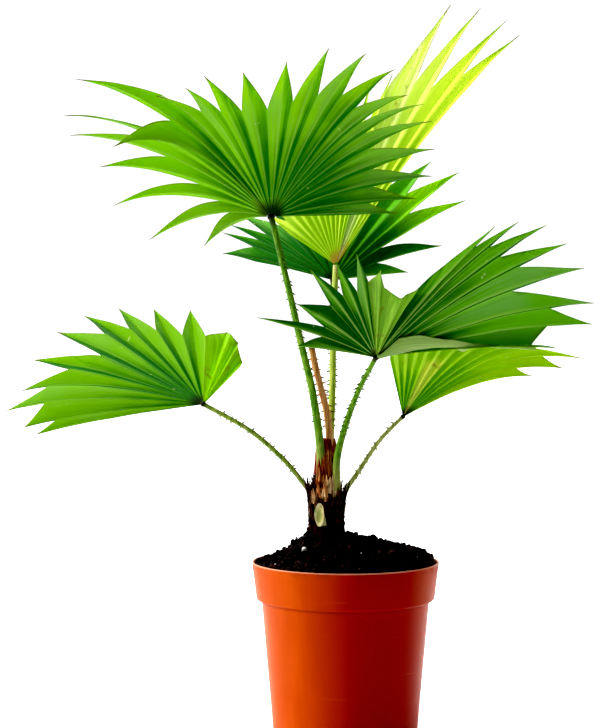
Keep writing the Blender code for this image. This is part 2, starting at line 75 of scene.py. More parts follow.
# %% [markdown]
# ## A short way to write node trees
# Materials and Geometry Nodes are both trees of nodes. Writing each node and link out in full is
# long, so this helper adds a node, sets it up, joins its inputs and gives back one output. A value
# that is itself an output becomes a link, and any other value is typed into the socket. A tree
# that was given inputs hands them out by name, such as `tree["Width"]`.


# %% Node tree helper
class Nodes:
    """A node tree written from the script: a call adds nodes and gives back an output."""

    def __init__(self, tree):
        tree.nodes.clear()
        self.tree = tree
        self.given = {}
        self.material = None

    def __getitem__(self, label):
        return self.given[label]

    def add(self, kind, inputs=(), out=0, **settings):
        node = self.tree.nodes.new(kind)
        for name, value in settings.items():
            setattr(node, name, value)
        sockets = [s for s in node.inputs if s.enabled]
        if isinstance(inputs, dict):
            sockets = [next(s for s in sockets if s.name == key) for key in inputs]
            inputs = inputs.values()
        for socket, value in zip(sockets, inputs):
            self.fill(socket, value)
        outputs = [s for s in node.outputs if s.enabled]
        if isinstance(out, str):
            return next(s for s in outputs if s.name == out)
        return outputs[out] if outputs else None

    def fill(self, socket, value):
        if isinstance(value, bpy.types.NodeSocket):
            self.tree.links.new(value, socket)
        else:
            socket.default_value = (*value, 1.0) if socket.type == "RGBA" else value

    def math(self, operation, *values, clamp=False):
        return self.add("ShaderNodeMath", values, operation=operation, use_clamp=clamp)

    def times(self, first, *others):
        for other in others:
            first = self.math("MULTIPLY", first, other)
        return first

    def total(self, *terms):
        """Add up values, each times its weight."""
        whole = 0.0
        for value, weight in terms:
            whole = self.math("MULTIPLY_ADD", value, weight, whole)
        return whole

    def ramp(self, value, low, high, to_low=0.0, to_high=1.0, kind="SMOOTHSTEP"):
        """Smoothly turn a value between low and high into one between to_low and to_high."""
        return self.add("ShaderNodeMapRange", (value, low, high, to_low, to_high),
                        interpolation_type=kind)

    def vector(self, operation, *values):
        return self.add("ShaderNodeVectorMath", values, operation=operation)

    def scaled(self, vector, size):
        return self.vector("SCALE", vector, size)

    def combine(self, x=0.0, y=0.0, z=0.0):
        return self.add("ShaderNodeCombineXYZ", (x, y, z))

    def axis(self, vector, letter):
        return self.add("ShaderNodeSeparateXYZ", (vector,), letter)

    def place(self):
        """Where a point is, in the piece's own coordinates."""
        if self.tree.type == "GEOMETRY":
            return self.add("GeometryNodeInputPosition")
        return self.add("ShaderNodeTexCoord", out="Object")

    def read(self, name, kind="FLOAT"):
        """An attribute that the mesh carries."""
        if self.tree.type == "GEOMETRY":
            return self.add("GeometryNodeInputNamedAttribute", {"Name": name}, "Attribute",
                            data_type=kind)
        return self.add("ShaderNodeAttribute", out="Fac", attribute_name=name)

    def noise(self, vector, scale, detail=3.0, out="Fac"):
        """Noise of one scale, or stretched by a scale for each axis."""
        if isinstance(scale, tuple):
            vector, scale = self.vector("MULTIPLY", vector, scale), 1.0
        return self.add("ShaderNodeTexNoise", {"Vector": vector, "Scale": scale,
                                               "Detail": detail}, out)

    def coats(self, colour, *coats):
        """Paint colours over a first one, each where its mask lets it show."""
        for mask, over in coats:
            colour = self.add("ShaderNodeMix", {"Factor": mask, "A": colour, "B": over}, "Result",
                              data_type="RGBA")
        return colour


# %% [markdown]
# ## The way a material ends
# All the plant's materials end alike. A Bump node turns a height into relief, and the Principled
# shader makes the skin. Where a piece is thin, a Translucent shader is mixed in, so that light
# comes through it.

# %% Material helpers
def new_material(name):
    """A material with an empty node tree, ready to be written."""
    material = bpy.data.materials.new(name)
    material.use_nodes = True
    n = Nodes(material.node_tree)
    n.material = material
    return n


def end_material(n, skin, rough, height, relief, depth, specular=0.5, through=0.0, glow=None):
    """Join colour, roughness and relief, of a depth in millimetres, into the finished surface."""
    bump = n.add("ShaderNodeBump", {"Strength": relief, "Distance": depth * MM,
                                    "Height": height})
    shader = n.add("ShaderNodeBsdfPrincipled", {
        "Base Color": skin, "Roughness": rough, "Specular IOR Level": specular, "Normal": bump})
    if through:
        thin = n.add("ShaderNodeBsdfTranslucent", {
            "Color": skin if glow is None else glow, "Normal": bump})
        shader = n.add("ShaderNodeMixShader", (through, shader, thin))
    n.add("ShaderNodeOutputMaterial", {"Surface": shader})
    print("material:", n.material.name, "with", len(n.tree.nodes), "nodes")
    return n.material


# %% [markdown]
# ## Mesh helpers
# These helpers make meshes and pieces. Lengths in the script are in millimetres, as on a drawing,
# and turn into metres here. `dressed` tells the frame what a finished piece is: it rides on the
# plant's one body and stands for the CAD nodes that it replaces.

# %% Mesh helpers
def mesh_of(name, verts, faces, edges=()):
    """A mesh from points in millimetres."""
    mesh = bpy.data.meshes.new(name)
    mesh.from_pydata([Vector(v) * MM for v in verts], edges, faces)
    return mesh


def mesh_from(work, name):
    """A mesh from a bmesh, which is freed."""
    mesh = bpy.data.meshes.new(name)
    work.to_mesh(mesh)
    work.free()
    return mesh


def carry(mesh, kind="FLOAT", key="value", **numbers):
    """Let each point of a mesh carry numbers under the given names."""
    for name, values in numbers.items():
        mesh.attributes.new(name, kind, "POINT").data.foreach_set(key, list(values))
    return mesh


# %% Piece helpers
def frozen(piece):
    """Turn a piece and its modifiers into a plain mesh."""
    bpy.context.view_layer.update()
    graph = bpy.context.evaluated_depsgraph_get()
    final = bpy.data.meshes.new_from_object(piece.evaluated_get(graph))
    piece.modifiers.clear()
    piece.data = final
    return piece


def smooth(piece, sharp_angle):
    """Shade a piece smooth but for edges sharper than an angle in degrees."""
    piece.data.shade_smooth()
    piece.data.set_sharp_from_angle(angle=math.radians(sharp_angle))
    return piece


def shaped(name, mesh, material, sharp_angle, thickness=0.0, offset=-1.0):
    """A piece of one material, with a Solidify modifier where a thickness is given."""
    piece = linked_object(name, mesh)
    mesh.materials.append(material)
    if thickness:
        thick = piece.modifiers.new("thickness", "SOLIDIFY")
        thick.thickness, thick.offset = thickness, offset
        frozen(piece)
    return smooth(piece, sharp_angle)


def dressed(piece, slot, *nodes):
    """Let a finished piece ride on the plant and stand for its CAD nodes. The slot is not used."""
    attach(piece, "root")
    if nodes:
        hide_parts(*nodes)
    print(piece.name, sum(len(p.vertices) - 2 for p in piece.data.polygons), "triangles")


# %% [markdown]
# ## The pot's plastic
# A nursery pot is thin moulded polypropylene in a terracotta orange. It is satin and not glossy,
# with faint flow marks from the mould, fine scuffs, and dust where the mix was tipped in. Stretched
# noise makes the flow marks, and a height mask keeps the dust near the rim. Light and shade are
# also painted into the colour: the orange turns deep red towards the right, a painted shade away
# from the key light that lifts a little at the right edge, and a band under the collar's ledge is
# a painted shadow.

# %% Pot plastic
def pot_plastic():
    n = new_material("terracotta plastic")
    place = n.place()
    height, sideways = n.axis(place, "Z"), n.axis(place, "X")
    flow, mottle = n.noise(place, (60.0, 60.0, 9.0), 4.0), n.noise(place, 22.0)
    # Painted shade: deep red from the middle towards the right, away from the key light, with less
    # of it at the right edge, where light from behind reaches.
    painted_shade_red = n.times(n.ramp(sideways, -0.050, 0.011, 0.0, 0.95),
                         n.ramp(sideways, 0.044, 0.062, 1.0, 0.35))
    scuff = n.ramp(n.noise(place, (40.0, 40.0, 420.0), 2.0), 0.66, 0.74, 0.0, 0.1)
    dust = n.times(n.ramp(height, 0.122, 0.1305), n.ramp(n.noise(place, 160.0, 5.0), 0.45, 0.62))
    worn_lip = n.times(n.ramp(height, 0.1288, 0.1296), n.ramp(mottle, 0.3, 0.5, 0.5, 0.9))
    # A painted shadow in a band under the collar's ledge.
    ledge_shadow = n.times(n.ramp(height, 0.0985, 0.1012), n.ramp(height, 0.1022, 0.1012))
    body = n.coats(
        (0.54, 0.082, 0.006), (n.ramp(flow, 0.35, 0.7), (0.62, 0.104, 0.009)),
        (n.ramp(mottle, 0.4, 0.75, 0.0, 0.5), (0.50, 0.070, 0.004)),
        (painted_shade_red, (0.40, 0.004, 0.001)), (scuff, (0.66, 0.14, 0.03)),
        (n.times(dust, 0.35), (0.16, 0.03, 0.01)), (worn_lip, (0.72, 0.34, 0.22)),
        (n.times(ledge_shadow, 0.45), (0.22, 0.012, 0.001)))
    rough = n.total((n.ramp(mottle, 0.3, 0.7, 0.30, 0.42, "LINEAR"), 1.0), (dust, 0.3))
    relief = n.total((n.noise(place, 900.0, 2.0), 1.0), (flow, 2.0))
    return end_material(n, body, rough, relief, 0.12, 0.4, 0.04, through=0.04)


# %% [markdown]
# ## The pot
# The pot is a solid of revolution: a tapered wall with a ledge, a deeper collar above it and a
# rounded lip. The profile is written once, its corners are rounded, and it is spun round the axis
# in 128 steps. Six drain holes are cut through the floor with a Boolean modifier.

# %% Pot
RIM_R, COLLAR_R, SHOULDER_R, BASE_R = 70.0, 66.6, 62.7, 53.8
POT_Z, COLLAR_Z, SHOULDER_Z = 130.0, 102.4, 101.2
WALL, FLOOR = 1.6, 2.4
FOOT_RING_R, FOOT_RECESS = (44, 46), 0.8
SPIN_STEPS = 128
DRAIN_HOLES, DRAIN_R, DRAIN_RING_R, DRAIN_SIDES = 6, 4.0, 37.0, 24


def rounded(corners, radii, steps=5):
    """Round each corner of a closed profile with a curve that starts its radius away."""
    line = []
    for k, (corner, radius) in enumerate(zip(corners, radii)):
        here = Vector(corner)
        before, after = Vector(corners[k - 1]), Vector(corners[(k + 1) % len(corners)])
        if radius == 0:
            line.append(here)
            continue
        start = here + (before - here).normalized() * radius
        end = here + (after - here).normalized() * radius
        for m in range(steps + 1):
            t = m / steps
            line.append(start * (1 - t) ** 2 + here * 2 * t * (1 - t) + end * t * t)
    return line


def spun(name, profile, steps):
    """Spin a closed profile of (radius, height) in millimetres round the upright axis."""
    work = bmesh.new()
    ring = [work.verts.new((p[0] * MM, 0, p[1] * MM)) for p in profile]
    edges = [work.edges.new((a, b)) for a, b in zip(ring, ring[1:])]
    bmesh.ops.spin(work, geom=ring + edges, cent=(0, 0, 0), axis=(0, 0, 1), angle=math.tau,
                   steps=steps, use_merge=True)
    bmesh.ops.remove_doubles(work, verts=work.verts, dist=1e-6)
    bmesh.ops.recalc_face_normals(work, faces=work.faces)
    return mesh_from(work, name)


def wall_radius(height):
    return BASE_R + (SHOULDER_R - BASE_R) * height / SHOULDER_Z


pot_corners = ((0, FOOT_RECESS), (FOOT_RING_R[0], FOOT_RECESS), (FOOT_RING_R[1], 0), (BASE_R, 0),
               (SHOULDER_R, SHOULDER_Z), (COLLAR_R, COLLAR_Z), (RIM_R, POT_Z),
               (RIM_R - WALL, POT_Z), (COLLAR_R - WALL, COLLAR_Z),
               (SHOULDER_R - WALL, SHOULDER_Z - WALL), (wall_radius(FLOOR) - WALL, FLOOR),
               (0, FLOOR))
pot_rounding = (0, 0.5, 0.5, 1.4, 0.8, 1.0, 0.7, 0.6, 0.8, 0.8, 1.2, 0)
pot = linked_object("pot_moulded", spun("pot", rounded(pot_corners, pot_rounding), SPIN_STEPS))
drill = bmesh.new()
for k in range(DRAIN_HOLES):
    turn = math.tau * (k + 0.5) / DRAIN_HOLES
    bit = bmesh.ops.create_cone(drill, segments=DRAIN_SIDES, radius1=DRAIN_R * MM,
                                radius2=DRAIN_R * MM, depth=4 * FLOOR * MM, cap_ends=True)
    place = Vector((math.cos(turn), math.sin(turn), 0)) * DRAIN_RING_R * MM
    bmesh.ops.translate(drill, verts=bit["verts"], vec=place)
drill_piece = linked_object("drill", mesh_from(drill, "drill"))
cut = pot.modifiers.new("cut", "BOOLEAN")
cut.operation, cut.object = "DIFFERENCE", drill_piece
frozen(pot)
bpy.data.objects.remove(drill_piece, do_unlink=True)
pot.data.materials.clear()
pot.data.materials.append(pot_plastic())
dressed(smooth(pot, 35), "pot_plastic", "pot")

# %% [markdown]
# ## Leaf colour and light
# A palm leaf is thin enough that light from behind turns it a bright yellow-green, and its folds
# catch the light on one side and hide it on the other. Each leaflet has a pale rib, fine streaks
# and its own shade of green, a thin brown margin and a dry tip. Light and shade are also painted
# into the colour: a lit and a shaded half to each fold, painted shade along the ridges, in the
# creases and towards the hub, painted shadows over parts of a leaf, and a painted grey sheen here
# and there.
#
# The colours follow attributes that the leaf's geometry will carry: `across` runs from -1 to 1
# over a leaflet, `along` from the stalk to its tip, `free` starts where the leaflet parts from its
# neighbour, `under` marks the lower face, `tone` is the leaflet's own shade, `shadow` paints
# shadow over part of the leaf, and light where it is below 0, and `faded` marks leaflets
# that have lost their green, and on some leaves leaflets painted lighter as if lit.
#
# A leaf has four colours: `deep` and `bright` for its skin, `thin` for the light that comes
# through, and `pale` for faded leaflets and for those painted lighter. The other numbers say how
# strong each effect is: `dry` brown edges, brown spots where the leaf is `worn` or faded
# (`spots`), `ribs`, `folds` for painted light and shade from one side of a leaflet to the other,
# `ridge_shade` for painted shade along the ridges, `painted_sheen` for the grey sheen, darker
# `tips`, where along the leaflet a faded one begins to `fade`, and the colour at the `hub`.


# %% Leaf material
def leaf_green(name, deep, bright, thin, pale, through=0.5, dry=0.5, worn=0.0, ribs=0.4,
               folds=0.45, ridge_shade=0.0, painted_sheen=0.5, fade=(0.0, 0.02), hub=(0.012, 0.022, 0.004),
               tips=0.0, spots=0.6):
    n = new_material(name)
    across, along, tone, under, free, shadow, faded = (
        n.read(label) for label in ("across", "along", "tone", "under", "free", "shadow", "faded"))
    place = n.place()
    out_from_rib = n.math("ABSOLUTE", across)

    lengthwise = n.combine(n.times(across, n.ramp(free, 0.0, 0.6, 5.0, 0.2)), n.times(along, 1.6),
                           n.times(tone, 60.0))
    streak = n.noise(lengthwise, 1.0)
    fine = n.noise(lengthwise, (4.5, 1.2, 1.0))
    # Besides tone, streaks and noise, the shade carries painted light and shade: one half of each
    # fold lit and the other shaded, darker towards the ridges, darker towards the hub where the
    # leaflets crowd and shade each other, and the leaf's shadow, which paints light where it is
    # below 0.
    shade = n.total((n.ramp(across, -0.7, 0.7), folds), (out_from_rib, -ridge_shade), (tone, 0.22),
                    (n.ramp(along, 0.0, 0.85), 0.60), (streak, 0.60), (fine, 0.45),
                    (n.noise(place, 26.0, 2.0), 0.45), (shadow, -0.50),
                    (n.ramp(along, 0.76, 1.0), -tips))
    shade = n.ramp(shade, 0.68 + (folds - ridge_shade) / 3, 1.35 + (folds - ridge_shade) / 2)

    # A painted grey sheen, light glancing off the leaf's wax, in clouds on one half of some
    # leaflets.
    clouds = n.ramp(n.total((n.noise(place, 17.0, 1.0), 0.7), (tone, 0.3)), 0.44, 0.60)
    sheen_mask = n.times(clouds, n.ramp(n.total((streak, 0.6), (along, 0.5)), 0.44, 0.66),
                    n.ramp(across, -0.4, 0.4, 0.45 - folds / 3, 1.0), painted_sheen)
    rib = n.times(n.ramp(out_from_rib, 0.16, 0.04), n.ramp(along, 0.95, 0.5, 0.2, 1.0), ribs)
    # Painted shade in the creases between neighbouring leaflets, up to the slits.
    crease_shade = n.times(n.ramp(out_from_rib, 0.86, 1.0), n.ramp(free, 0.02, 0.0), 0.35)
    speck = n.ramp(n.noise(place, 190.0, 2.0), 0.74, 0.78, 0.0, 0.7)
    # Faded leaflets take the pale colour. On some leaves this mask paints light instead: on
    # leaflets turned away from the lamps and on a curled edge that catches a sheen.
    faded_and_lit_mask = n.times(faded, n.ramp(along, *fade),
                   n.ramp(n.total((fine, 1.0), (streak, 0.7)), 0.70, 0.98, 1.0, 0.3))
    spot = n.ramp(n.noise(place, 95.0, 5.0), 0.58, 0.68)
    spot = n.math("MULTIPLY", spot, n.total((faded_and_lit_mask, spots), (worn, 1.0)), clamp=True)
    margin = n.times(n.ramp(out_from_rib, 0.86, 0.99), n.ramp(free, 0.0, 0.15), 0.6)
    tip = n.ramp(n.total((along, 1.0), (streak, 0.10)), 0.975, 1.04)
    brown = n.times(n.math("MAXIMUM", tip, margin), dry)
    skin = n.coats(
        deep, (shade, bright), (sheen_mask, (0.26, 0.47, 0.16)), (rib, (0.40, 0.62, 0.14)),
        (crease_shade, deep), (n.ramp(along, 0.09, 0.02, 0.0, 0.9), hub), (speck, (0.62, 0.72, 0.30)),
        (faded_and_lit_mask, pale), (spot, (0.30, 0.13, 0.02)), (brown, (0.24, 0.12, 0.03)))
    glow = n.coats(skin, (n.times(shade, 0.6), thin), (n.math("MAXIMUM", brown, faded_and_lit_mask), skin))

    height = n.times(n.total((fine, 1.0), (streak, 0.6)), n.ramp(free, 0.0, 0.3, 1.0, 0.0))
    rough = n.ramp(n.total((streak, 1.0), (under, 0.4)), 0.3, 1.0, 0.34, 0.60, "LINEAR")
    return end_material(n, skin, rough, height, 0.4, 0.4, 0.07, through, glow)


# %% [markdown]
# ## Geometry Nodes helpers
# A tree is given named inputs, so that one tree can make six different leaves. `grown` runs a tree
# on a small starting mesh and keeps the result as a plain mesh, because the rest of the work, and
# the exported model, need real faces and not a live modifier.

# %% Geometry Nodes helpers
def geometry_tree(name, inputs, output=("Geometry", "Geometry")):
    """A new tree, with its inputs written by kind, such as {"Float": "Width, Length"}."""
    tree = bpy.data.node_groups.new(name, "GeometryNodeTree")
    wanted = [("INPUT", kind, label) for kind, labels in inputs.items()
              for label in labels.split(", ")]
    for way, kind, label in (*wanted, ("OUTPUT", *output)):
        tree.interface.new_socket(label, in_out=way, socket_type="NodeSocket" + kind)
    nodes = Nodes(tree)
    source = tree.nodes.new("NodeGroupInput")
    nodes.given = {label: source.outputs[label] for _, _, label in wanted}
    return nodes


def hand_out(n, value):
    n.tree.links.new(value, n.tree.nodes.new("NodeGroupOutput").inputs[0])
    print("tree:", n.tree.name, "with", len(n.tree.nodes), "nodes")


def real(n, geometry):
    return n.add("GeometryNodeRealizeInstances", (geometry,))


def end_tree(n, geometry):
    """End a tree with real faces that have their material."""
    hand_out(n, n.add("GeometryNodeSetMaterial", {
        "Geometry": real(n, geometry), "Material": n["Material"]}))


def store(n, geometry, kind="FLOAT", domain="POINT", **values):
    """Let a geometry carry values under the given names."""
    for name, value in values.items():
        geometry = n.add("GeometryNodeStoreNamedAttribute", {
            "Geometry": geometry, "Name": name, "Value": value}, data_type=kind, domain=domain)
    return geometry


def moved(n, geometry, **how):
    """Give every point a Position, or an Offset from where it is."""
    return n.add("GeometryNodeSetPosition", {"Geometry": geometry, **how})


def copied(n, points, piece, **how):
    """Put a copy of a piece on every point."""
    return n.add("GeometryNodeInstanceOnPoints", {"Points": points, "Instance": piece, **how})


def joined(n, *parts):
    node = n.tree.nodes.new("GeometryNodeJoinGeometry")
    for part in parts:
        n.tree.links.new(part, node.inputs[0])
    return node.outputs[0]


def chance(n, low=0.0, high=1.0, step=0.0):
    """A random number for each point. The step keeps one set of numbers apart from another."""
    return n.add("FunctionNodeRandomValue", {
        "Min": low, "Max": high, "Seed": n.math("ADD", n["Seed"], step)}, data_type="FLOAT")


def grown(name, mesh, nodes, values, sharp_angle):
    """Run a Geometry Nodes tree on a mesh and keep what it makes as a plain mesh."""
    piece = linked_object(name, mesh)
    modifier = piece.modifiers.new("grow", "NODES")
    modifier.node_group = nodes.tree
    for item in nodes.tree.interface.items_tree:
        if item.item_type == "SOCKET" and item.in_out == "INPUT" and item.name in values:
            modifier[item.identifier] = values[item.name]
    return smooth(frozen(piece), sharp_angle)


# %% [markdown]
# ## The rule behind a fan leaf
# A fan leaf is pleated: each leaflet is a shallow trough with its rib at the bottom, and
# neighbours share the ridge between them until a slit parts them near the tips. All ribs start at
# the hub, point their own way in the leaf's plane and sink under their weight. A small node group
# holds that rule, so that the main tree can ask for the place of any rib at any share of its
# length.

# %% Node group for a leaflet's rib
SAG_POWER = 2.5

rule = geometry_tree("leaflet rib", {
    "Geometry": "Leaflets", "Int": "Leaflet", "Float": "Share, Hub radius",
    "Vector": "Hub, Out, Side"}, ("Vector", "Place"))


def from_leaflet(name):
    return rule.add("GeometryNodeSampleIndex", {
        "Geometry": rule["Leaflets"], "Value": rule.read(name), "Index": rule["Leaflet"]},
        data_type="FLOAT", clamp=True)


turn = from_leaflet("turn")
way = rule.vector("ADD", rule.scaled(rule["Out"], rule.math("COSINE", turn)),
                  rule.scaled(rule["Side"], rule.math("SINE", turn)))
grows = rule.math("SUBTRACT", from_leaflet("length"), rule["Hub radius"])
reach = rule.math("MULTIPLY_ADD", grows, rule["Share"], rule["Hub radius"])
sinks = rule.times(from_leaflet("fall"), rule.math("POWER", rule["Share"], SAG_POWER))
level = rule.vector("ADD", rule["Hub"], rule.scaled(way, reach))
hand_out(rule, rule.vector("SUBTRACT", level, rule.combine(z=sinks)))

# %% [markdown]
# ## The tree that makes a leaf
# The starting mesh has one loose point for each leaflet, which carries its turn, length, fall and
# slits. The tree puts a flat strip of faces on every point, and each strip keeps its leaflet's
# numbers. Every point of a strip is then set between its own rib and the ridge it shares with the
# neighbour. Past the slit the strip narrows to a tip. Merging by distance closes the leaf up to the
# slits. A flipped copy, extruded along the surface's own directions, gives it thickness.

# %% Geometry Nodes tree for the blades
HALF_COLUMNS = 5
CLOSED_ROWS, OPEN_ROWS = 18, 22
COLUMN_POWER = 1.5
BLADE_THICK = 0.45 * MM
MERGE = 0.004 * MM
RIPPLE_SCALE = 34.0

fan = geometry_tree("pleated fan blade", {
    "Geometry": "Geometry", "Vector": "Hub, Out, Side, Face",
    "Float": "Hub radius, Thickness, Taper, Arch, Ripple", "Int": "Seed", "Material": "Material"})


def rib_place(leaflet, share):
    node = fan.tree.nodes.new("GeometryNodeGroup")
    node.node_tree = rule.tree
    asked = {label: fan[label] for label in ("Hub", "Out", "Side", "Hub radius")}
    for label, value in {"Leaflets": leaflets, "Leaflet": leaflet, "Share": share,
                         **asked}.items():
        fan.fill(node.inputs[label], value)
    return node.outputs["Place"]


leaflets = store(fan, fan["Geometry"], "INT", leaflet=fan.add("GeometryNodeInputIndex"))
leaflets = store(fan, leaflets, tone=chance(fan))
strip = fan.add("GeometryNodeMeshGrid", {
    "Size X": 2.0, "Size Y": float(CLOSED_ROWS + OPEN_ROWS),
    "Vertices X": 2 * HALF_COLUMNS + 1, "Vertices Y": CLOSED_ROWS + OPEN_ROWS + 1}, "Mesh")
grid_x, grid_y = (fan.axis(fan.place(), letter) for letter in "XY")
sideways = fan.times(fan.math("SIGN", grid_x),
                     fan.math("POWER", fan.math("ABSOLUTE", grid_x), COLUMN_POWER))
strip = store(fan, strip, across=sideways,
              row=fan.math("ADD", grid_y, (CLOSED_ROWS + OPEN_ROWS) / 2))
strips = real(fan, copied(fan, leaflets, strip))

across, row = fan.read("across"), fan.read("row")
wide = fan.math("ABSOLUTE", across)
on_right = fan.math("GREATER_THAN", across, 0.0)


def of_side(name, kind="FLOAT"):
    """A leaflet's number for the side of the rib that a point lies on."""
    left, right = fan.read(name + "_left", kind), fan.read(name + "_right", kind)
    return fan.add("GeometryNodeSwitch", (on_right, left, right), input_type=kind)


def station(slit):
    """The share of the length that a row lies at, with the same rows up to every slit."""
    closed = fan.times(slit, fan.math("DIVIDE", row, float(CLOSED_ROWS)))
    past = fan.math("DIVIDE", fan.math("SUBTRACT", row, float(CLOSED_ROWS)), float(OPEN_ROWS))
    opened = fan.math("MULTIPLY_ADD", fan.math("SUBTRACT", 1.0, slit), past, slit)
    is_open = fan.math("GREATER_THAN", row, float(CLOSED_ROWS))
    return fan.add("GeometryNodeSwitch", (is_open, closed, opened), input_type="FLOAT")


slit = of_side("slit")
at_rib = fan.times(0.5, fan.math("ADD", station(fan.read("slit_left")),
                                 station(fan.read("slit_right"))))
along = fan.add("ShaderNodeMix", {"Factor": wide, "A": at_rib, "B": station(slit)},
                data_type="FLOAT")
own = rib_place(fan.read("leaflet", "INT"), along)
apart = fan.vector("SUBTRACT", rib_place(of_side("next", "INT"), along), own)
distance = fan.vector("LENGTH", apart)
to_ridge = fan.vector("ADD", fan.scaled(apart, of_side("reach")),
                      fan.scaled(fan["Face"], fan.times(distance, of_side("lift"))))
past_slit = fan.math("DIVIDE", fan.math("SUBTRACT", along, slit), fan.math("SUBTRACT", 1.0, slit),
                     clamp=True)
margin = fan.math("POWER", fan.math("SUBTRACT", 1.0, past_slit), fan["Taper"])
place = fan.vector("ADD", own, fan.scaled(to_ridge, fan.times(wide, margin)))
bulge = fan.times(fan.math("SINE", fan.times(wide, math.pi)), margin, distance, fan["Arch"])
wave = fan.times(fan.math("SUBTRACT", fan.noise(place, RIPPLE_SCALE, 1.0), 0.5), fan["Ripple"])
outwards = fan.math("MINIMUM", fan.times(along, 2.0), 1.0)
lift = fan.math("MULTIPLY_ADD", wave, outwards, bulge)
place = fan.vector("ADD", place, fan.scaled(fan["Face"], lift))

blade = store(fan, strips, along=along, free=past_slit, faded=of_side("faded"))
blade = moved(fan, blade, Position=place)
blade = fan.add("GeometryNodeMergeByDistance", {"Geometry": blade, "Distance": MERGE})
lower = fan.add("GeometryNodeFlipFaces", {"Mesh": store(fan, blade, under=1.0)})
lower = fan.add("GeometryNodeExtrudeMesh", {
    "Mesh": lower, "Offset Scale": fan["Thickness"], "Individual": False}, "Mesh", mode="FACES")
blade = joined(fan, store(fan, blade, under=0.0), lower)
end_tree(fan, fan.add("GeometryNodeMergeByDistance", {"Geometry": blade, "Distance": MERGE}))
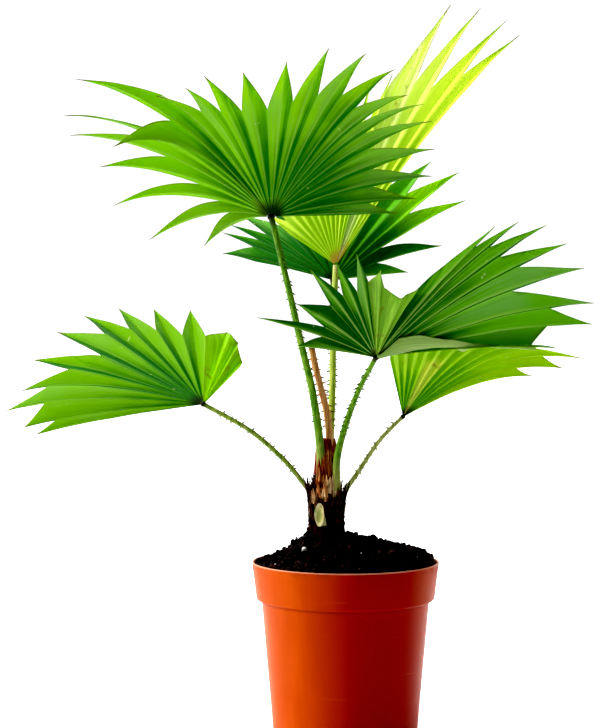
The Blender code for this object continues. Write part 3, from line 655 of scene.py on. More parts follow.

# %% [markdown]
# ## The six leaves
# Each frond has the place of its hub, the way it points, how it rolls, and a row of numbers for
# each leaflet. These are the numbers that the CAD solids were made from, so every leaf stays where
# its solid is. Only some slits run deeper here than in the solids, as they do in the photo. Angles
# are in degrees and lengths in millimetres. `taper` says how fast a leaflet narrows past its slit,
# `shadow` how much painted shadow lies on the leaf from its first leaflet to its last, with painted
# light where it is below 0, and `faded` names the leaflets that have lost their green and,
# on the lower left leaf, those painted lighter because they turn away from the lamps. `route` is
# the way that the leaf's stalk takes up from the trunk.

# %% The fronds
FRONDS = {
    "left_high": dict(
        hub=(-55, -40, 386.5), heading=-93, rise=48, roll=2, hub_r=3.0, taper=1.5,
        turns=(88, 77, 64, 53, 42, 36, 32, 27, 21, 14, 6, -4, -13, -18, -24, -31, -34, -39, -45,
               -51, -60, -76, -88),
        lengths=(92, 108, 130, 148, 173, 187, 188, 200, 201, 196, 176, 168, 169, 166, 174, 235,
                 182, 211, 187, 149, 126, 90, 49),
        falls=(2, 8, 18, 24, 36, 42, 42, 40, 36, 34, 30, 30, 30, 32, 38, 60, 66, 54, 42, 34, 38,
               32, 22),
        slits=(0.70, 0.66, 0.62, 0.60, 0.60, 0.62, 0.66, 0.66, 0.62, 0.60, 0.60, 0.62, 0.66, 0.70,
               0.72, 0.58, 0.56, 0.54, 0.56, 0.42, 0.34, 0.40),
        route=((-19, -5, 182), (-18.6, -7.2, 210.8), (-24.5, -12, 255.9), (-32.2, -19, 289.5),
               (-43.1, -30, 337.3)),
        stalk_r=(3.5, 2.4), shadow=(1.3, 1.0, 0.6, 0.1, -0.3, -0.3),
        faded={22: 0.5, 21: 0.35, 18: 0.3}),
    "left_low": dict(
        hub=(-107.7, 30, 246), heading=128, rise=21, roll=-21, hub_r=2.2, taper=1.3,
        turns=(62, 54, 38, 25, 17, 6, -4, -11, -19, -29, -43, -51, -62),
        lengths=(128, 138, 164, 172, 181, 191, 205, 189, 170, 155, 111, 91, 64),
        falls=(6, 10, 21, 26, 15, 10, 14, 8, 6, 4, 2, 0, 0),
        slits=(0.84, 0.82, 0.8, 0.74, 0.61, 0.71, 0.69, 0.66, 0.62, 0.66, 0.95, 0.95),
        route=((-22.5, 2, 168), (-24.2, 2.2, 177), (-32.8, 4, 189.8), (-47.5, 9, 206.6),
               (-72, 18, 226.7)),
        # The last three leaflets turn away from the lamps; the below-0 shadow and the marks for
        # faded leaflets paint light on them.
        stalk_r=(2.1, 1.9), shadow=(-0.1, 0.6, 0.8, 0.5, -0.4, -1.5),
        faded={10: 1.0, 11: 1.0, 12: 1.0}),
    "front_right": dict(
        hub=(20, -75, 285.6), heading=-61, rise=40, roll=-2, hub_r=2.5, taper=1.4, curled=True,
        turns=(78, 66, 53, 36, 25, 16, 10, 7, -3, -10, -23, -30, -36, -43, -54, -66, -78),
        lengths=(121, 164, 166, 173, 178, 183, 175, 159, 82, 73, 112, 140, 140, 144, 113, 126, 72),
        falls=(6, 16, 22, 24, 22, 20, 16, 10, 4, 4, 6, 8, 8, 8, 6, 6, 2),
        slits=(0.97, 0.81, 0.65, 0.73, 0.70, 0.74, 0.76, 0.45, 0.92, 0.8, 0.70, 0.60, 0.60, 0.58,
               0.5, 0.45),
        route=((-6.4, -8.6, 184), (-6.6, -11, 206.1), (-1.8, -20, 228.5), (7.7, -43, 258.3)),
        stalk_r=(3.2, 2.0), shadow=(0.5, 0.6, 0.7, 0.8, 0.8, 1.1, 0.9),
        faded={8: 0.6, 9: 1.0, 10: 0.8}),
    "right_low": dict(
        hub=(43.3, 10, 237.7), heading=44, rise=43, roll=8, hub_r=1.9, taper=1.5,
        turns=(39, 32, 25, 18, 10, 2, -6, -14, -21, -29, -34, -39),
        lengths=(98, 104, 108, 112, 118, 124, 130, 138, 152, 169, 142, 110),
        falls=(0, 2, 5, 8, 12, 18, 26, 36, 44, 50, 36, 20),
        slits=(0.7, 0.72, 0.74, 0.76, 0.78, 0.8, 0.8, 0.8, 0.8, 0.82, 0.78),
        route=((-2.8, -1, 168), (-1.1, 0, 180.4), (8.6, 3, 195.1), (26, 7, 220.3)),
        stalk_r=(2.2, 1.7), shadow=(0.6, 0.4, 0.1, -0.4), faded={4: 0.9, 5: 0.9}),
    "young_top": dict(
        hub=(-7.1, 8, 351.4), heading=97, rise=67, roll=-41, hub_r=2.3, taper=1.7,
        turns=(44, 37, 31, 24, 18, 11, 5, -2, -8, -15, -21, -28, -34, -40, -44),
        lengths=(90, 108, 122, 132, 138, 142, 146, 150, 154, 160, 172, 255, 258, 257, 252),
        falls=(3, 4, 6, 7, 8, 9, 10, 11, 12, 14, 18, 40, 41, 42, 42),
        slits=(0.62, 0.62, 0.62, 0.62, 0.62, 0.62, 0.62, 0.62, 0.64, 0.66, 0.68, 0.62, 0.62, 0.72),
        route=((-12, 4.2, 184), (-11.1, 4.4, 221.3), (-9.7, 5, 260.2), (-9, 6.5, 308.1)),
        stalk_r=(3.0, 2.5), shadow=(0.6, 0.5, 0.3, 0.0), faded={11: 0.9, 12: 0.3}),
    "back": dict(
        hub=(-9.1, 25, 340.2), heading=59, rise=46, roll=3, hub_r=2.5, taper=1.4,
        turns=(74, 65, 61, 56, 45, 31, 16, 1, -11, -23, -36, -55, -74),
        lengths=(116, 136, 137, 140, 138, 138, 138, 138, 151, 148, 127, 89, 60),
        falls=(6, 8, 8, 8, 10, 10, 10, 10, 12, 12, 10, 8, 4),
        slits=(0.68, 0.66, 0.64, 0.62, 0.66, 0.66, 0.66, 0.7, 0.66, 0.58, 0.38, 0.46),
        route=((-15, 11.2, 184), (-11.4, 12, 220.7), (-9.9, 15, 259.7), (-9.1, 20, 307.8)),
        stalk_r=(2.4, 2.0), shadow=(1.4, 1.5, 0.9, 0.3, 0.7), faded={9: 0.9, 10: 0.8}),
}
print(sum(len(f["turns"]) for f in FRONDS.values()), "leaflets on", len(FRONDS), "leaves")

# %% [markdown]
# ## Growing the blades
# A half leaflet's ridge lies halfway to its neighbour and rises by a fixed share of that distance,
# which is what folds the leaf. At the two outer edges there is no neighbour, so the half leaflet
# reaches a little away from the next rib instead. The front leaf's outer edge is turned under.

# %% Blades
PLEAT = 0.26
OUTER_REACH = 0.3
CURL_REACH, CURL_LIFT = 0.45, -0.25
ARCH, RIPPLE = 0.03, 1.6 * MM
FIRST_BLADE_SEED = 11


def leaf_directions(frond):
    """Out along the middle leaflet, to the leaf's left side, and out of its upper face."""
    h, r, k = (math.radians(frond[name]) for name in ("heading", "rise", "roll"))
    out = Vector((math.cos(h) * math.cos(r), math.sin(h) * math.cos(r), math.sin(r)))
    level = Vector((-math.sin(h), math.cos(h), 0))
    face = out.cross(level)
    side = level * math.cos(k) + face * math.sin(k)
    return out, side, face * math.cos(k) - level * math.sin(k)


def leaflet_points(name, frond):
    """One loose point for each leaflet, with all that the tree needs to know of it."""
    count = len(frond["turns"])
    slits = (frond["slits"][0], *frond["slits"], frond["slits"][-1])
    faded = [frond["faded"].get(k, 0.0) for k in range(count)]
    shadow = frond["shadow"]
    curled = frond.get("curled", False)
    # On a curled leaf the first leaflet's outer half is marked as well, which paints a sheen on the
    # curled edge.
    mesh = carry(
        mesh_of(name, [(0, 0, 0)] * count, []), turn=np.radians(frond["turns"]),
        length=np.array(frond["lengths"]) * MM, fall=np.array(frond["falls"]) * MM,
        slit_left=slits[:-1], slit_right=slits[1:],
        shadow=np.interp(np.linspace(0, 1, count), np.linspace(0, 1, len(shadow)), shadow),
        faded_left=[1.0] + faded[1:] if curled else faded, faded_right=faded)
    for side, step, last in (("left", -1, 0), ("right", 1, count - 1)):
        edge = (CURL_REACH, CURL_LIFT) if curled and side == "left" else (
            -OUTER_REACH, 2 * PLEAT * OUTER_REACH)
        folds = [(0.5, PLEAT) if k != last else edge for k in range(count)]
        carry(mesh, **{"reach_" + side: [reach for reach, _ in folds],
                       "lift_" + side: [lift for _, lift in folds]})
        carry(mesh, "INT", **{"next_" + side: [k + step if k != last else k - step
                                               for k in range(count)]})
    return mesh


blade_looks = {
    "left_high": leaf_green(
        "leaf green, seen from below", (0.020, 0.245, 0.0006), (0.33, 0.60, 0.016),
        (0.42, 0.76, 0.012), (0.42, 0.62, 0.16), 0.50, 0.9, ribs=0.55, painted_sheen=0.6),
    # The pale colour here is a bright green: painted light on the lobe's last three leaflets.
    "left_low": leaf_green(
        "fresh leaf green", (0.004, 0.190, 0.0006), (0.19, 0.44, 0.002),
        (0.34, 0.57, 0.002), (0.44, 0.76, 0.006), 0.45, 0.6, ribs=0.3, folds=0.7, painted_sheen=0.2),
    # The pale colour shows on faded leaflets, and as a painted sheen on the curled first edge.
    "front_right": leaf_green(
        "shaded leaf green", (0.002, 0.145, 0.0008), (0.17, 0.48, 0.022),
        (0.20, 0.54, 0.012), (0.48, 0.78, 0.10), 0.36, 0.25, ribs=0.68, folds=0.5, ridge_shade=0.6,
        painted_sheen=0.55),
    "right_low": leaf_green(
        "worn leaf green", (0.13, 0.45, 0.0008), (0.50, 0.72, 0.016),
        (0.54, 0.76, 0.008), (0.85, 0.82, 0.26), 0.5, 0.7, 0.12, fade=(0.56, 0.46)),
    "young_top": leaf_green(
        "young leaf green", (0.38, 0.63, 0.012), (0.80, 0.94, 0.14),
        (0.84, 1.0, 0.20), (0.97, 1.0, 0.72), 0.52, 0.9, 0.03, painted_sheen=0.2,
        hub=(0.50, 0.34, 0.06), tips=0.6),
    "back": leaf_green(
        "dark leaf green", (0.001, 0.160, 0.001), (0.15, 0.52, 0.008),
        (0.20, 0.50, 0.006), (0.52, 0.84, 0.03), 0.40, 0.3, ribs=0.25, painted_sheen=0.3,
        fade=(0.40, 0.70), spots=0.0),
}
for seed, (name, frond) in enumerate(FRONDS.items()):
    out, side, face = leaf_directions(frond)
    piece = grown("leaf_" + name, leaflet_points(name, frond), fan, {
        "Hub": Vector(frond["hub"]) * MM, "Out": out, "Side": side, "Face": face,
        "Hub radius": frond["hub_r"] * MM, "Thickness": BLADE_THICK, "Taper": frond["taper"],
        "Arch": ARCH, "Ripple": RIPPLE, "Seed": FIRST_BLADE_SEED + seed,
        "Material": blade_looks[name]}, 40)
    dressed(piece, "young_green" if name == "young_top" else "leaf_green", "blade_" + name)

# %% [markdown]
# ## The turned-over edge
# The front leaf's lowest edge is curled over towards the viewer, so its other face shows as a
# narrow flap that runs out from the hub and ends in torn tips. Its pale grey-green is a painted
# sheen, the light glancing off that glossy face. It is a strip laid along the first rib, lifted
# off the blade by a little more in the middle. A Solidify modifier gives it thickness.

# %% Curled flap
FLAP_ALONG = (0.02, 0.10, 0.22, 0.36, 0.48, 0.55, 0.60, 0.75, 0.90, 1.02)
FLAP_TOP = (4.0, 23.0, 24.0, 17.0, 13.0, 9.5, 7.5, 5.0, 3.0, 0.6)
FLAP_FOOT = (-0.5, 3.5, 6.5, 7.0, 4.5, -1.5, 4.5, 2.5, 1.0, -0.4)
FLAP_LIFT = 4.0
FLAP_COLUMNS, FLAP_ROWS = 8, 64


def lump(a, b, seed):
    """Waves of three sizes, between about -1 and 1."""
    return (math.sin(1.7 * a + 2.3 * b + seed) + math.sin(3.1 * a - 1.9 * b + 2.0 * seed)
            + 0.7 * math.sin(5.3 * a + 4.1 * b + 3.0 * seed)) / 2.7


def curled_flap(frond):
    out, side, face = leaf_directions(frond)
    turn = math.radians(frond["turns"][0])
    way = out * math.cos(turn) + side * math.sin(turn)
    inward = out * math.sin(turn) - side * math.cos(turn)
    verts, across, along, tone = [], [], [], []
    for row in range(FLAP_ROWS + 1):
        t = FLAP_ALONG[-1] * row / FLAP_ROWS
        foot, top = (float(np.interp(t, FLAP_ALONG, edge)) for edge in (FLAP_FOOT, FLAP_TOP))
        ragged = 0.5 * lump(9 * t, 23 * t, 2.0)
        for column in range(FLAP_COLUMNS + 1):
            v = column / FLAP_COLUMNS
            rises = FLAP_LIFT * math.sin(math.pi * (0.2 + 0.6 * v)) * min(1.0, 6 * t + 0.3)
            place = Vector(frond["hub"]) + way * frond["lengths"][0] * t
            place += inward * (foot + (top - foot) * v + ragged * v) - face * rises
            place.z -= frond["falls"][0] * t ** SAG_POWER
            verts.append(place)
            across.append(0.3 + 0.6 * v)
            along.append(0.25 + 0.6 * t)
            tone.append(0.16 * v)
    wide = FLAP_COLUMNS + 1
    faces = [(a, a + 1, a + wide + 1, a + wide) for row in range(FLAP_ROWS)
             for a in range(row * wide, row * wide + FLAP_COLUMNS)]
    return carry(mesh_of("flap", verts, faces), across=across, along=along, tone=tone)


# The flap's pale colours are a painted sheen on the leaf's glossy face.
sheen_flap_green = leaf_green("leaf back with painted sheen", (0.08, 0.25, 0.015), (0.46, 0.66, 0.20),
                       (0.40, 0.62, 0.12), (0.5, 0.6, 0.3), 0.35, 0.8, 0.15, ribs=0.0, folds=0.3,
                       painted_sheen=0.2)
flap = shaped("leaf_flap", curled_flap(FRONDS["front_right"]), sheen_flap_green, 50, BLADE_THICK)
dressed(flap, "leaf_green")

# %% [markdown]
# ## Stalk finish
# The stalks are smooth and satin, green on the sunny side with paler streaks, and browner towards
# the foot. Their thorns turn dark brown at the points. The dry stalk is the same shape in tan with
# dark thorns. One function makes all of them from four colours and reads `up`, which runs from the
# foot to the hub, and `thorn`, which is 0 on the stalk and 1 at a thorn's point.

# %% Stalk material
def stalk_skin(name, main, streak, foot, thorn_color, roughness=0.42, through=0.12,
               hub=(0.02, 0.03, 0.006)):
    n = new_material(name)
    up, thorn, place = n.read("up"), n.read("thorn"), n.place()
    lines = n.noise(place, (650.0, 650.0, 45.0))
    blotch = n.noise(place, 90.0)
    at_foot = n.math("SUBTRACT", n.ramp(up, 0.30, 0.0), n.times(blotch, 0.35), clamp=True)
    skin = n.coats(main, (n.ramp(lines, 0.35, 0.68), streak), (at_foot, foot),
                   (n.ramp(blotch, 0.62, 0.72, 0.0, 0.5), foot),
                   (n.ramp(up, 0.955, 0.99, 0.0, 0.85), hub),
                   (n.ramp(thorn, 0.15, 0.6), thorn_color))
    rough = n.ramp(lines, 0.2, 0.8, roughness - 0.06, roughness + 0.12, "LINEAR")
    return end_material(n, skin, rough, lines, 0.3, 0.3, 0.2, through)


# %% [markdown]
# ## Thorned stalks
# A stalk follows a smooth curve from the trunk to the leaf's hub. It is wider than deep and tapers
# upwards, and hooked thorns stand along both edges at an even pitch. The path comes in as a row of
# points that carry the direction across the stalk. Some stalks are twisted, so that their edges
# and thorns show. The tree sweeps an oval along the path, sets a bent cone on each edge at every
# pitch, and turns it so that it hooks towards the foot.

# %% Stalk route
TRUNK_X, TRUNK_Y = -14.5, 0.0
STALK_TAPER = 0.8
PATH_POINTS = 90
NEAR_AXIS = 6.0
TRUNK_CLEAR_R, SHEATH_CLEAR_Z, LAST_THORN = 22.0, 227.0, 0.9


def route_place(route, t):
    """A point a share t of the way along a smooth curve through every point of a route."""
    places = [Vector(p) for p in route]
    knots = [0.0]
    for a, b in zip(places, places[1:]):
        knots.append(knots[-1] + (b - a).length)
    last = len(places) - 1
    k = max(i for i in range(last) if knots[i] <= t * knots[last] or i == 0)

    def slope(i):
        low, high = max(i - 1, 0), min(i + 1, last)
        return (places[high] - places[low]) / (knots[high] - knots[low])

    span = knots[k + 1] - knots[k]
    x = (t * knots[last] - knots[k]) / span
    return (places[k] * (1 - x) ** 2 * (1 + 2 * x) + places[k + 1] * x * x * (3 - 2 * x)
            + (slope(k) * x * (1 - x) ** 2 - slope(k + 1) * x * x * (1 - x)) * span)


def stalk_path(name, route, radii, twist):
    """The stalk's middle line, with its width, its way across and where thorns may stand."""
    shares = [k / (PATH_POINTS - 1) for k in range(PATH_POINTS)]
    line = [route_place(route, t) for t in shares]
    facing, radius, thorny = [], [], []
    for k, (t, here) in enumerate(zip(shares, line)):
        along = (line[min(k + 1, PATH_POINTS - 1)] - line[max(k - 1, 0)]).normalized()
        away = Vector((TRUNK_X, TRUNK_Y, here.z)) - here
        if away.length < NEAR_AXIS:
            away = Vector((TRUNK_X - route[-1][0], TRUNK_Y - route[-1][1], 0))
        across = along.cross(away).normalized()
        normal = across.cross(along).normalized()
        facing.extend(Quaternion(along, math.radians(twist)) @ normal)
        radius.append((radii[0] + (radii[1] - radii[0]) * min(1.0, t / STALK_TAPER)) * MM)
        clear = math.hypot(here.x - TRUNK_X, here.y - TRUNK_Y) > TRUNK_CLEAR_R
        thorny.append(float((clear or here.z > SHEATH_CLEAR_Z) and t < LAST_THORN))
    mesh = mesh_of(name, line, [], [(k, k + 1) for k in range(PATH_POINTS - 1)])
    carry(mesh, "FLOAT_VECTOR", "vector", facing=facing)
    return carry(mesh, radius_here=radius, thorny=thorny, up=shares)


# %% Geometry Nodes tree for the stalks
OVAL_SIDES, THORN_SIDES, CONE_ROWS = 16, 6, 5
THORN_OUT, THORN_SHIFT, THORN_JITTER = 0.8, 1.5 * MM, 0.4
THORN_SIZES = (0.65, 1.15)


def bent_cone(n, sides, tip, bend):
    """A cone one unit high, whose point leans over by the bend."""
    cone = n.add("GeometryNodeMeshCone", {
        "Vertices": sides, "Side Segments": CONE_ROWS, "Radius Top": tip, "Radius Bottom": 0.5,
        "Depth": 1.0}, "Mesh", fill_type="NGON")
    height = n.axis(n.place(), "Z")
    return moved(n, cone, Offset=n.combine(x=n.times(height, height, bend)))


def turned(n, upright, outward):
    """The rotation that sets Z and X along two directions."""
    return n.add("FunctionNodeAxesToRotation", {
        "Primary Axis": upright, "Secondary Axis": outward}, primary_axis="Z",
        secondary_axis="X")


stem = geometry_tree("thorned stalk", {
    "Geometry": "Geometry", "Float": "Flatness, Thorn pitch, Thorn length, Thorn width, Hook",
    "Int": "Seed", "Material": "Material"})
line = stem.add("GeometryNodeMeshToCurve", {"Mesh": stem["Geometry"]})
line = stem.add("GeometryNodeSetCurveNormal", {
    "Curve": line, "Normal": stem.read("facing", "FLOAT_VECTOR")}, mode="FREE")
oval = stem.add("GeometryNodeCurvePrimitiveCircle", {"Resolution": OVAL_SIDES, "Radius": 1.0},
                "Curve", mode="RADIUS")
oval = stem.add("GeometryNodeTransform", {
    "Geometry": oval, "Scale": stem.combine(stem["Flatness"], 1.0, 1.0)})
sized = stem.add("GeometryNodeSetCurveRadius", {
    "Curve": line, "Radius": stem.read("radius_here")})
body = stem.add("GeometryNodeCurveToMesh", {
    "Curve": sized, "Profile Curve": oval, "Scale": stem.read("radius_here"), "Fill Caps": True})
parts = [store(stem, body, thorn=0.0)]
cone = bent_cone(stem, THORN_SIDES, 0.03, stem["Hook"])
cone = store(stem, cone, thorn=stem.axis(stem.place(), "Z"))
for side in (-1.0, 1.0):
    spots = stem.add("GeometryNodeCurveToPoints", {
        "Curve": line, "Length": stem["Thorn pitch"]}, mode="LENGTH")
    tangent, normal = (spots.node.outputs[label] for label in ("Tangent", "Normal"))
    sideways = stem.scaled(stem.vector("CROSS_PRODUCT", tangent, normal), side)
    jitter = chance(stem, -THORN_JITTER, THORN_JITTER, 7.0 + side)
    onward = stem.math("MULTIPLY_ADD", jitter, stem["Thorn pitch"], side * THORN_SHIFT)
    outward = stem.scaled(sideways, stem.times(stem.read("radius_here"), THORN_OUT))
    spots = moved(stem, spots, Offset=stem.vector("ADD", outward, stem.scaled(tangent, onward)))
    scale = stem.scaled(stem.combine(stem["Thorn width"], stem["Thorn width"],
                                     stem["Thorn length"]),
                        chance(stem, *THORN_SIZES, 31.0 + side))
    allowed = stem.math("GREATER_THAN", stem.read("thorny"), 0.5)
    parts.append(real(stem, copied(
        stem, spots, cone, Selection=allowed, Scale=scale,
        Rotation=turned(stem, sideways, stem.scaled(tangent, -1.0)))))
end_tree(stem, joined(stem, *parts))

# %% Stalks
STALK_FLAT = 0.82
THORN_PITCH, THORN_LONG, THORN_WIDE, THORN_HOOK = 5.6, 3.6, 1.9, 0.8
STALK_TWIST = {"left_low": 62, "right_low": -62}
DEAD_ROUTE = ((-12.4, -2.8, 186), (-12, -3.4, 218.9), (-13.5, -4, 238.3), (-17.3, -5, 255.5),
              (-22.1, -6.5, 274.2), (-25.8, -8, 292.1))
DEAD_R, DEAD_TWIST = (3.0, 2.4), 55
FIRST_STALK_SEED, DEAD_SEED = 40, 60


def grow_stalk(name, route, radii, material, seed, twist=0):
    return grown(name, stalk_path(name, route, radii, twist), stem, {
        "Flatness": STALK_FLAT, "Thorn pitch": THORN_PITCH * MM, "Thorn length": THORN_LONG * MM,
        "Thorn width": THORN_WIDE * MM, "Hook": THORN_HOOK, "Seed": seed,
        "Material": material}, 50)


green_stalk = stalk_skin("stalk green", (0.050, 0.19, 0.005), (0.19, 0.37, 0.018),
                         (0.46, 0.46, 0.12), (0.035, 0.018, 0.008))
olive_stalk = stalk_skin("olive stalk green", (0.09, 0.16, 0.012), (0.24, 0.33, 0.05),
                         (0.40, 0.34, 0.14), (0.06, 0.025, 0.008))
pale_stalk = stalk_skin("pale stalk green", (0.32, 0.38, 0.08), (0.62, 0.66, 0.26),
                        (0.40, 0.34, 0.14), (0.09, 0.035, 0.012))
young_stalk = stalk_skin("young stalk green", (0.30, 0.45, 0.05), (0.52, 0.60, 0.12),
                         (0.45, 0.30, 0.12), (0.06, 0.03, 0.012), hub=(0.62, 0.56, 0.24))
dry_stalk = stalk_skin("dry stalk tan", (0.48, 0.17, 0.05), (0.74, 0.42, 0.17),
                       (0.16, 0.03, 0.010), (0.04, 0.010, 0.004), 0.6, 0.05)
stalk_looks = {"left_high": green_stalk, "left_low": olive_stalk, "front_right": green_stalk,
               "right_low": pale_stalk, "young_top": young_stalk, "back": green_stalk}
for seed, (name, frond) in enumerate(FRONDS.items()):
    piece = grow_stalk("stem_" + name, (*frond["route"], frond["hub"]), frond["stalk_r"],
                       stalk_looks[name], FIRST_STALK_SEED + seed, STALK_TWIST.get(name, 0))
    dressed(piece, "young_green" if name == "young_top" else "stalk_green", "stalk_" + name)
dead_stem = grow_stalk("stem_dead", DEAD_ROUTE, DEAD_R, dry_stalk, DEAD_SEED, DEAD_TWIST)
dressed(dead_stem, "dry_stalk", "dead_stalk")

# %% [markdown]
# ## Hub knobs
# Where the leaflets meet the stalk they are drawn together into a small, hard, dark knob. It is a
# rough ball that hides the joint between blade and stalk. The young leaf has none yet, as its hub
# is still pale, so the other five balls are made at once.

# %% Hub knobs
KNOB_WIDE, KNOB_ROUGH = 1.15, 0.12


def lumpy_ball(work, place, radius, rough, seed, tilt=1):
    """Add a rough ball to a bmesh, with its radius in millimetres."""
    for vert in bmesh.ops.create_icosphere(work, subdivisions=3, radius=radius * MM)["verts"]:
        x, y, z = vert.co / MM
        vert.co *= 1 + rough * lump(x, y + tilt * z, seed)
        vert.co += place


balls = bmesh.new()
for frond in (FRONDS[name] for name in FRONDS if name != "young_top"):
    radius = frond["stalk_r"][1] * KNOB_WIDE
    lumpy_ball(balls, Vector(frond["hub"]) * MM, radius, KNOB_ROUGH, radius)
dark_hub = stalk_skin("dark hub", (0.012, 0.030, 0.003), (0.03, 0.07, 0.008),
                      (0.01, 0.012, 0.002), (0.01, 0.01, 0.002), 0.6, 0.0)
knobs = mesh_from(balls, "knobs")
for label in ("up", "thorn"):  # the stalk's skin reads them, and 0 keeps its own colours
    knobs.attributes.new(label, "FLOAT", "POINT")
dressed(shaped("hub_knobs", knobs, dark_hub, 60), "stalk_green")

# %% [markdown]
# ## Potting mix
# The mix is peat and bark: nearly black when damp, and heaped towards the trunk. The heap is a
# closed body made of rings. Its lower rings follow the pot's wall just inside it, and its upper
# ones run from the rim to the hole that the trunk stands in, raised by waves of two sizes. Noise
# in the material gives it the small dark and light grains.

# %% Potting mix material
def mix_material(name, dark, light, chip, dull):
    n = new_material(name)
    fine, broad = n.noise(n.place(), 420.0, 4.0), n.noise(n.place(), 55.0)
    ground = n.coats(dark, (n.ramp(fine, 0.4, 0.8), light),
                     (n.ramp(broad, 0.60, 0.72, 0.0, 0.6), chip))
    rough = n.ramp(broad, 0.3, 0.7, dull - 0.1, dull, "LINEAR")
    return end_material(n, ground, rough, fine, 0.8, 0.8, 0.06)


# %% The heap
SOIL_FOOT_Z, SOIL_RIM_Z, SOIL_HEAP, SOIL_BULGE = 2.7, 126.5, 24.0, 0.75
SOIL_LEAN, SOIL_LUMP, SOIL_GRAIN, SOIL_EDGE = 0.045, 1.7, 0.8, 3.0
LEFT_EDGE, LEFT_DIP = 3.0, 6.0
HOLE_R, HOLE_FLOOR_Z, GAP, COLLAR_GAP = 15.2, 104.0, 0.3, 0.7
HEAP_SIDES, HEAP_RINGS = 128, 44


def capped_rings(name, foot, rings, head):
    """A closed body from rings of points, with a middle point in the first and in the last."""
    sides = len(rings[0])
    verts = [foot, *(place for ring in rings for place in ring), head]
    last = len(verts) - 1
    faces = []
    for k in range(sides):
        n = (k + 1) % sides
        faces.append((0, 1 + n, 1 + k))
        for low in range(1, last - sides, sides):
            faces.append((low + k, low + n, low + sides + n, low + sides + k))
        faces.append((last - sides + k, last - sides + n, last))
    return mesh_of(name, verts, faces)


def heap_place(a, share, rim_r):
    """A point on the heap's top, at an angle and a share of the way from the rim to the hole."""
    x = (1 - share) * rim_r * math.cos(a) + share * (TRUNK_X + HOLE_R * math.cos(a))
    y = (1 - share) * rim_r * math.sin(a) + share * (TRUNK_Y + HOLE_R * math.sin(a))
    rough = SOIL_LUMP * lump(0.11 * x, 0.11 * y, 1.3) * min(1.0, 2.2 * share)
    rough += SOIL_GRAIN * lump(0.5 * x, 0.5 * y, 4.0) * min(1.0, 5 * share)
    rise = SOIL_HEAP * share ** SOIL_BULGE + SOIL_LEAN * x * (1 - share)
    rise += SOIL_EDGE * (1 - share) ** 2 + 0.3 * min(0.0, x) * share * (1 - share)
    to_left = max(0.0, -math.cos(a))
    rise += to_left * (LEFT_EDGE * (1 - share) ** 4 - LEFT_DIP * share * (1 - share))
    return x, y, SOIL_RIM_Z + rise + rough


def heap_mesh():
    """The filling's outside, its heaped top and the blind hole that the trunk stands in."""
    angles = [math.tau * k / HEAP_SIDES for k in range(HEAP_SIDES)]
    slope = (RIM_R - COLLAR_R) / (POT_Z - COLLAR_Z)
    rim_r = RIM_R - WALL - GAP - (POT_Z - SOIL_RIM_Z) * slope
    levels = ((wall_radius(SOIL_FOOT_Z) - WALL - GAP, SOIL_FOOT_Z),
              (SHOULDER_R - WALL - GAP, SHOULDER_Z - WALL - GAP),
              (COLLAR_R - WALL - COLLAR_GAP, COLLAR_Z + GAP), (rim_r, SOIL_RIM_Z))
    rings = [[(radius * math.cos(a), radius * math.sin(a), height) for a in angles]
             for radius, height in levels]
    rings += [[heap_place(a, k / HEAP_RINGS, rim_r) for a in angles]
              for k in range(1, HEAP_RINGS + 1)]
    rings.append([(TRUNK_X + HOLE_R * math.cos(a), TRUNK_Y + HOLE_R * math.sin(a), HOLE_FLOOR_Z)
                  for a in angles])
    return capped_rings("heap", (0, 0, SOIL_FOOT_Z), rings, (TRUNK_X, TRUNK_Y, HOLE_FLOOR_Z))


damp_mix = mix_material("damp potting mix", (0.0015, 0.001, 0.001), (0.016, 0.007, 0.006),
                        (0.040, 0.010, 0.008), 0.9)
heap = shaped("soil_heap", heap_mesh(), damp_mix, 60)
dressed(heap, "potting_mix", "soil")

# %% [markdown]
# ## Loose crumbs
# On the heap lie crumbs of all sizes, chips of red-brown bark and a few white grains of perlite,
# one of them larger, and some crumbs cling to the trunk's foot. A bump in the material would leave
# the heap's outline smooth, so the crumbs are real lumps. The tree puts copies of one ball on
# random points of the heap's own faces, so that they follow its slope, with many small ones and
# few large. Noise on the finished crumbs makes every one different.

# %% Geometry Nodes tree for scattered crumbs
SMALL_POWER = 3.0
GRAIN_NOISE_SCALE = 700.0


def sown(n):
    """Random points on the given mesh, which also know the surface's direction."""
    return n.add("GeometryNodeDistributePointsOnFaces", {
        "Mesh": n["Geometry"], "Density": n["Density"], "Seed": n["Seed"]}, "Points",
        distribute_method="RANDOM")


scatter = geometry_tree("scattered crumbs", {
    "Geometry": "Geometry", "Float": "Density, Smallest, Largest, Flatness, Roughness",
    "Int": "Seed", "Material": "Material"})
size = scatter.add("ShaderNodeMix", {
    "Factor": scatter.math("POWER", chance(scatter), SMALL_POWER), "A": scatter["Smallest"],
    "B": scatter["Largest"]}, data_type="FLOAT")
turn = scatter.add("FunctionNodeRandomValue", {
    "Max": (math.tau, math.tau, math.tau), "Seed": scatter.math("ADD", scatter["Seed"], 5.0)},
    data_type="FLOAT_VECTOR")
grain = scatter.add("GeometryNodeMeshIcoSphere", {"Radius": 1.0, "Subdivisions": 2}, "Mesh")
squashed = scatter.combine(size, size, scatter.times(size, scatter["Flatness"]))
crumbs = real(scatter, copied(scatter, sown(scatter), grain, Rotation=turn, Scale=squashed))
push = scatter.noise(scatter.place(), GRAIN_NOISE_SCALE, 2.0, "Color")
push = scatter.scaled(scatter.vector("SUBTRACT", push, (0.5, 0.5, 0.5)), scatter["Roughness"])
end_tree(scatter, moved(scatter, crumbs, Offset=push))

# %% Crumbs, bark chips and perlite
WHITE_GRAIN, WHITE_GRAIN_R, WHITE_GRAIN_ROUGH = (-32.2, -27.5, 144), 1.9, 0.25
RIM_DEPTH, TOP_TILT = 0.5, 0.2


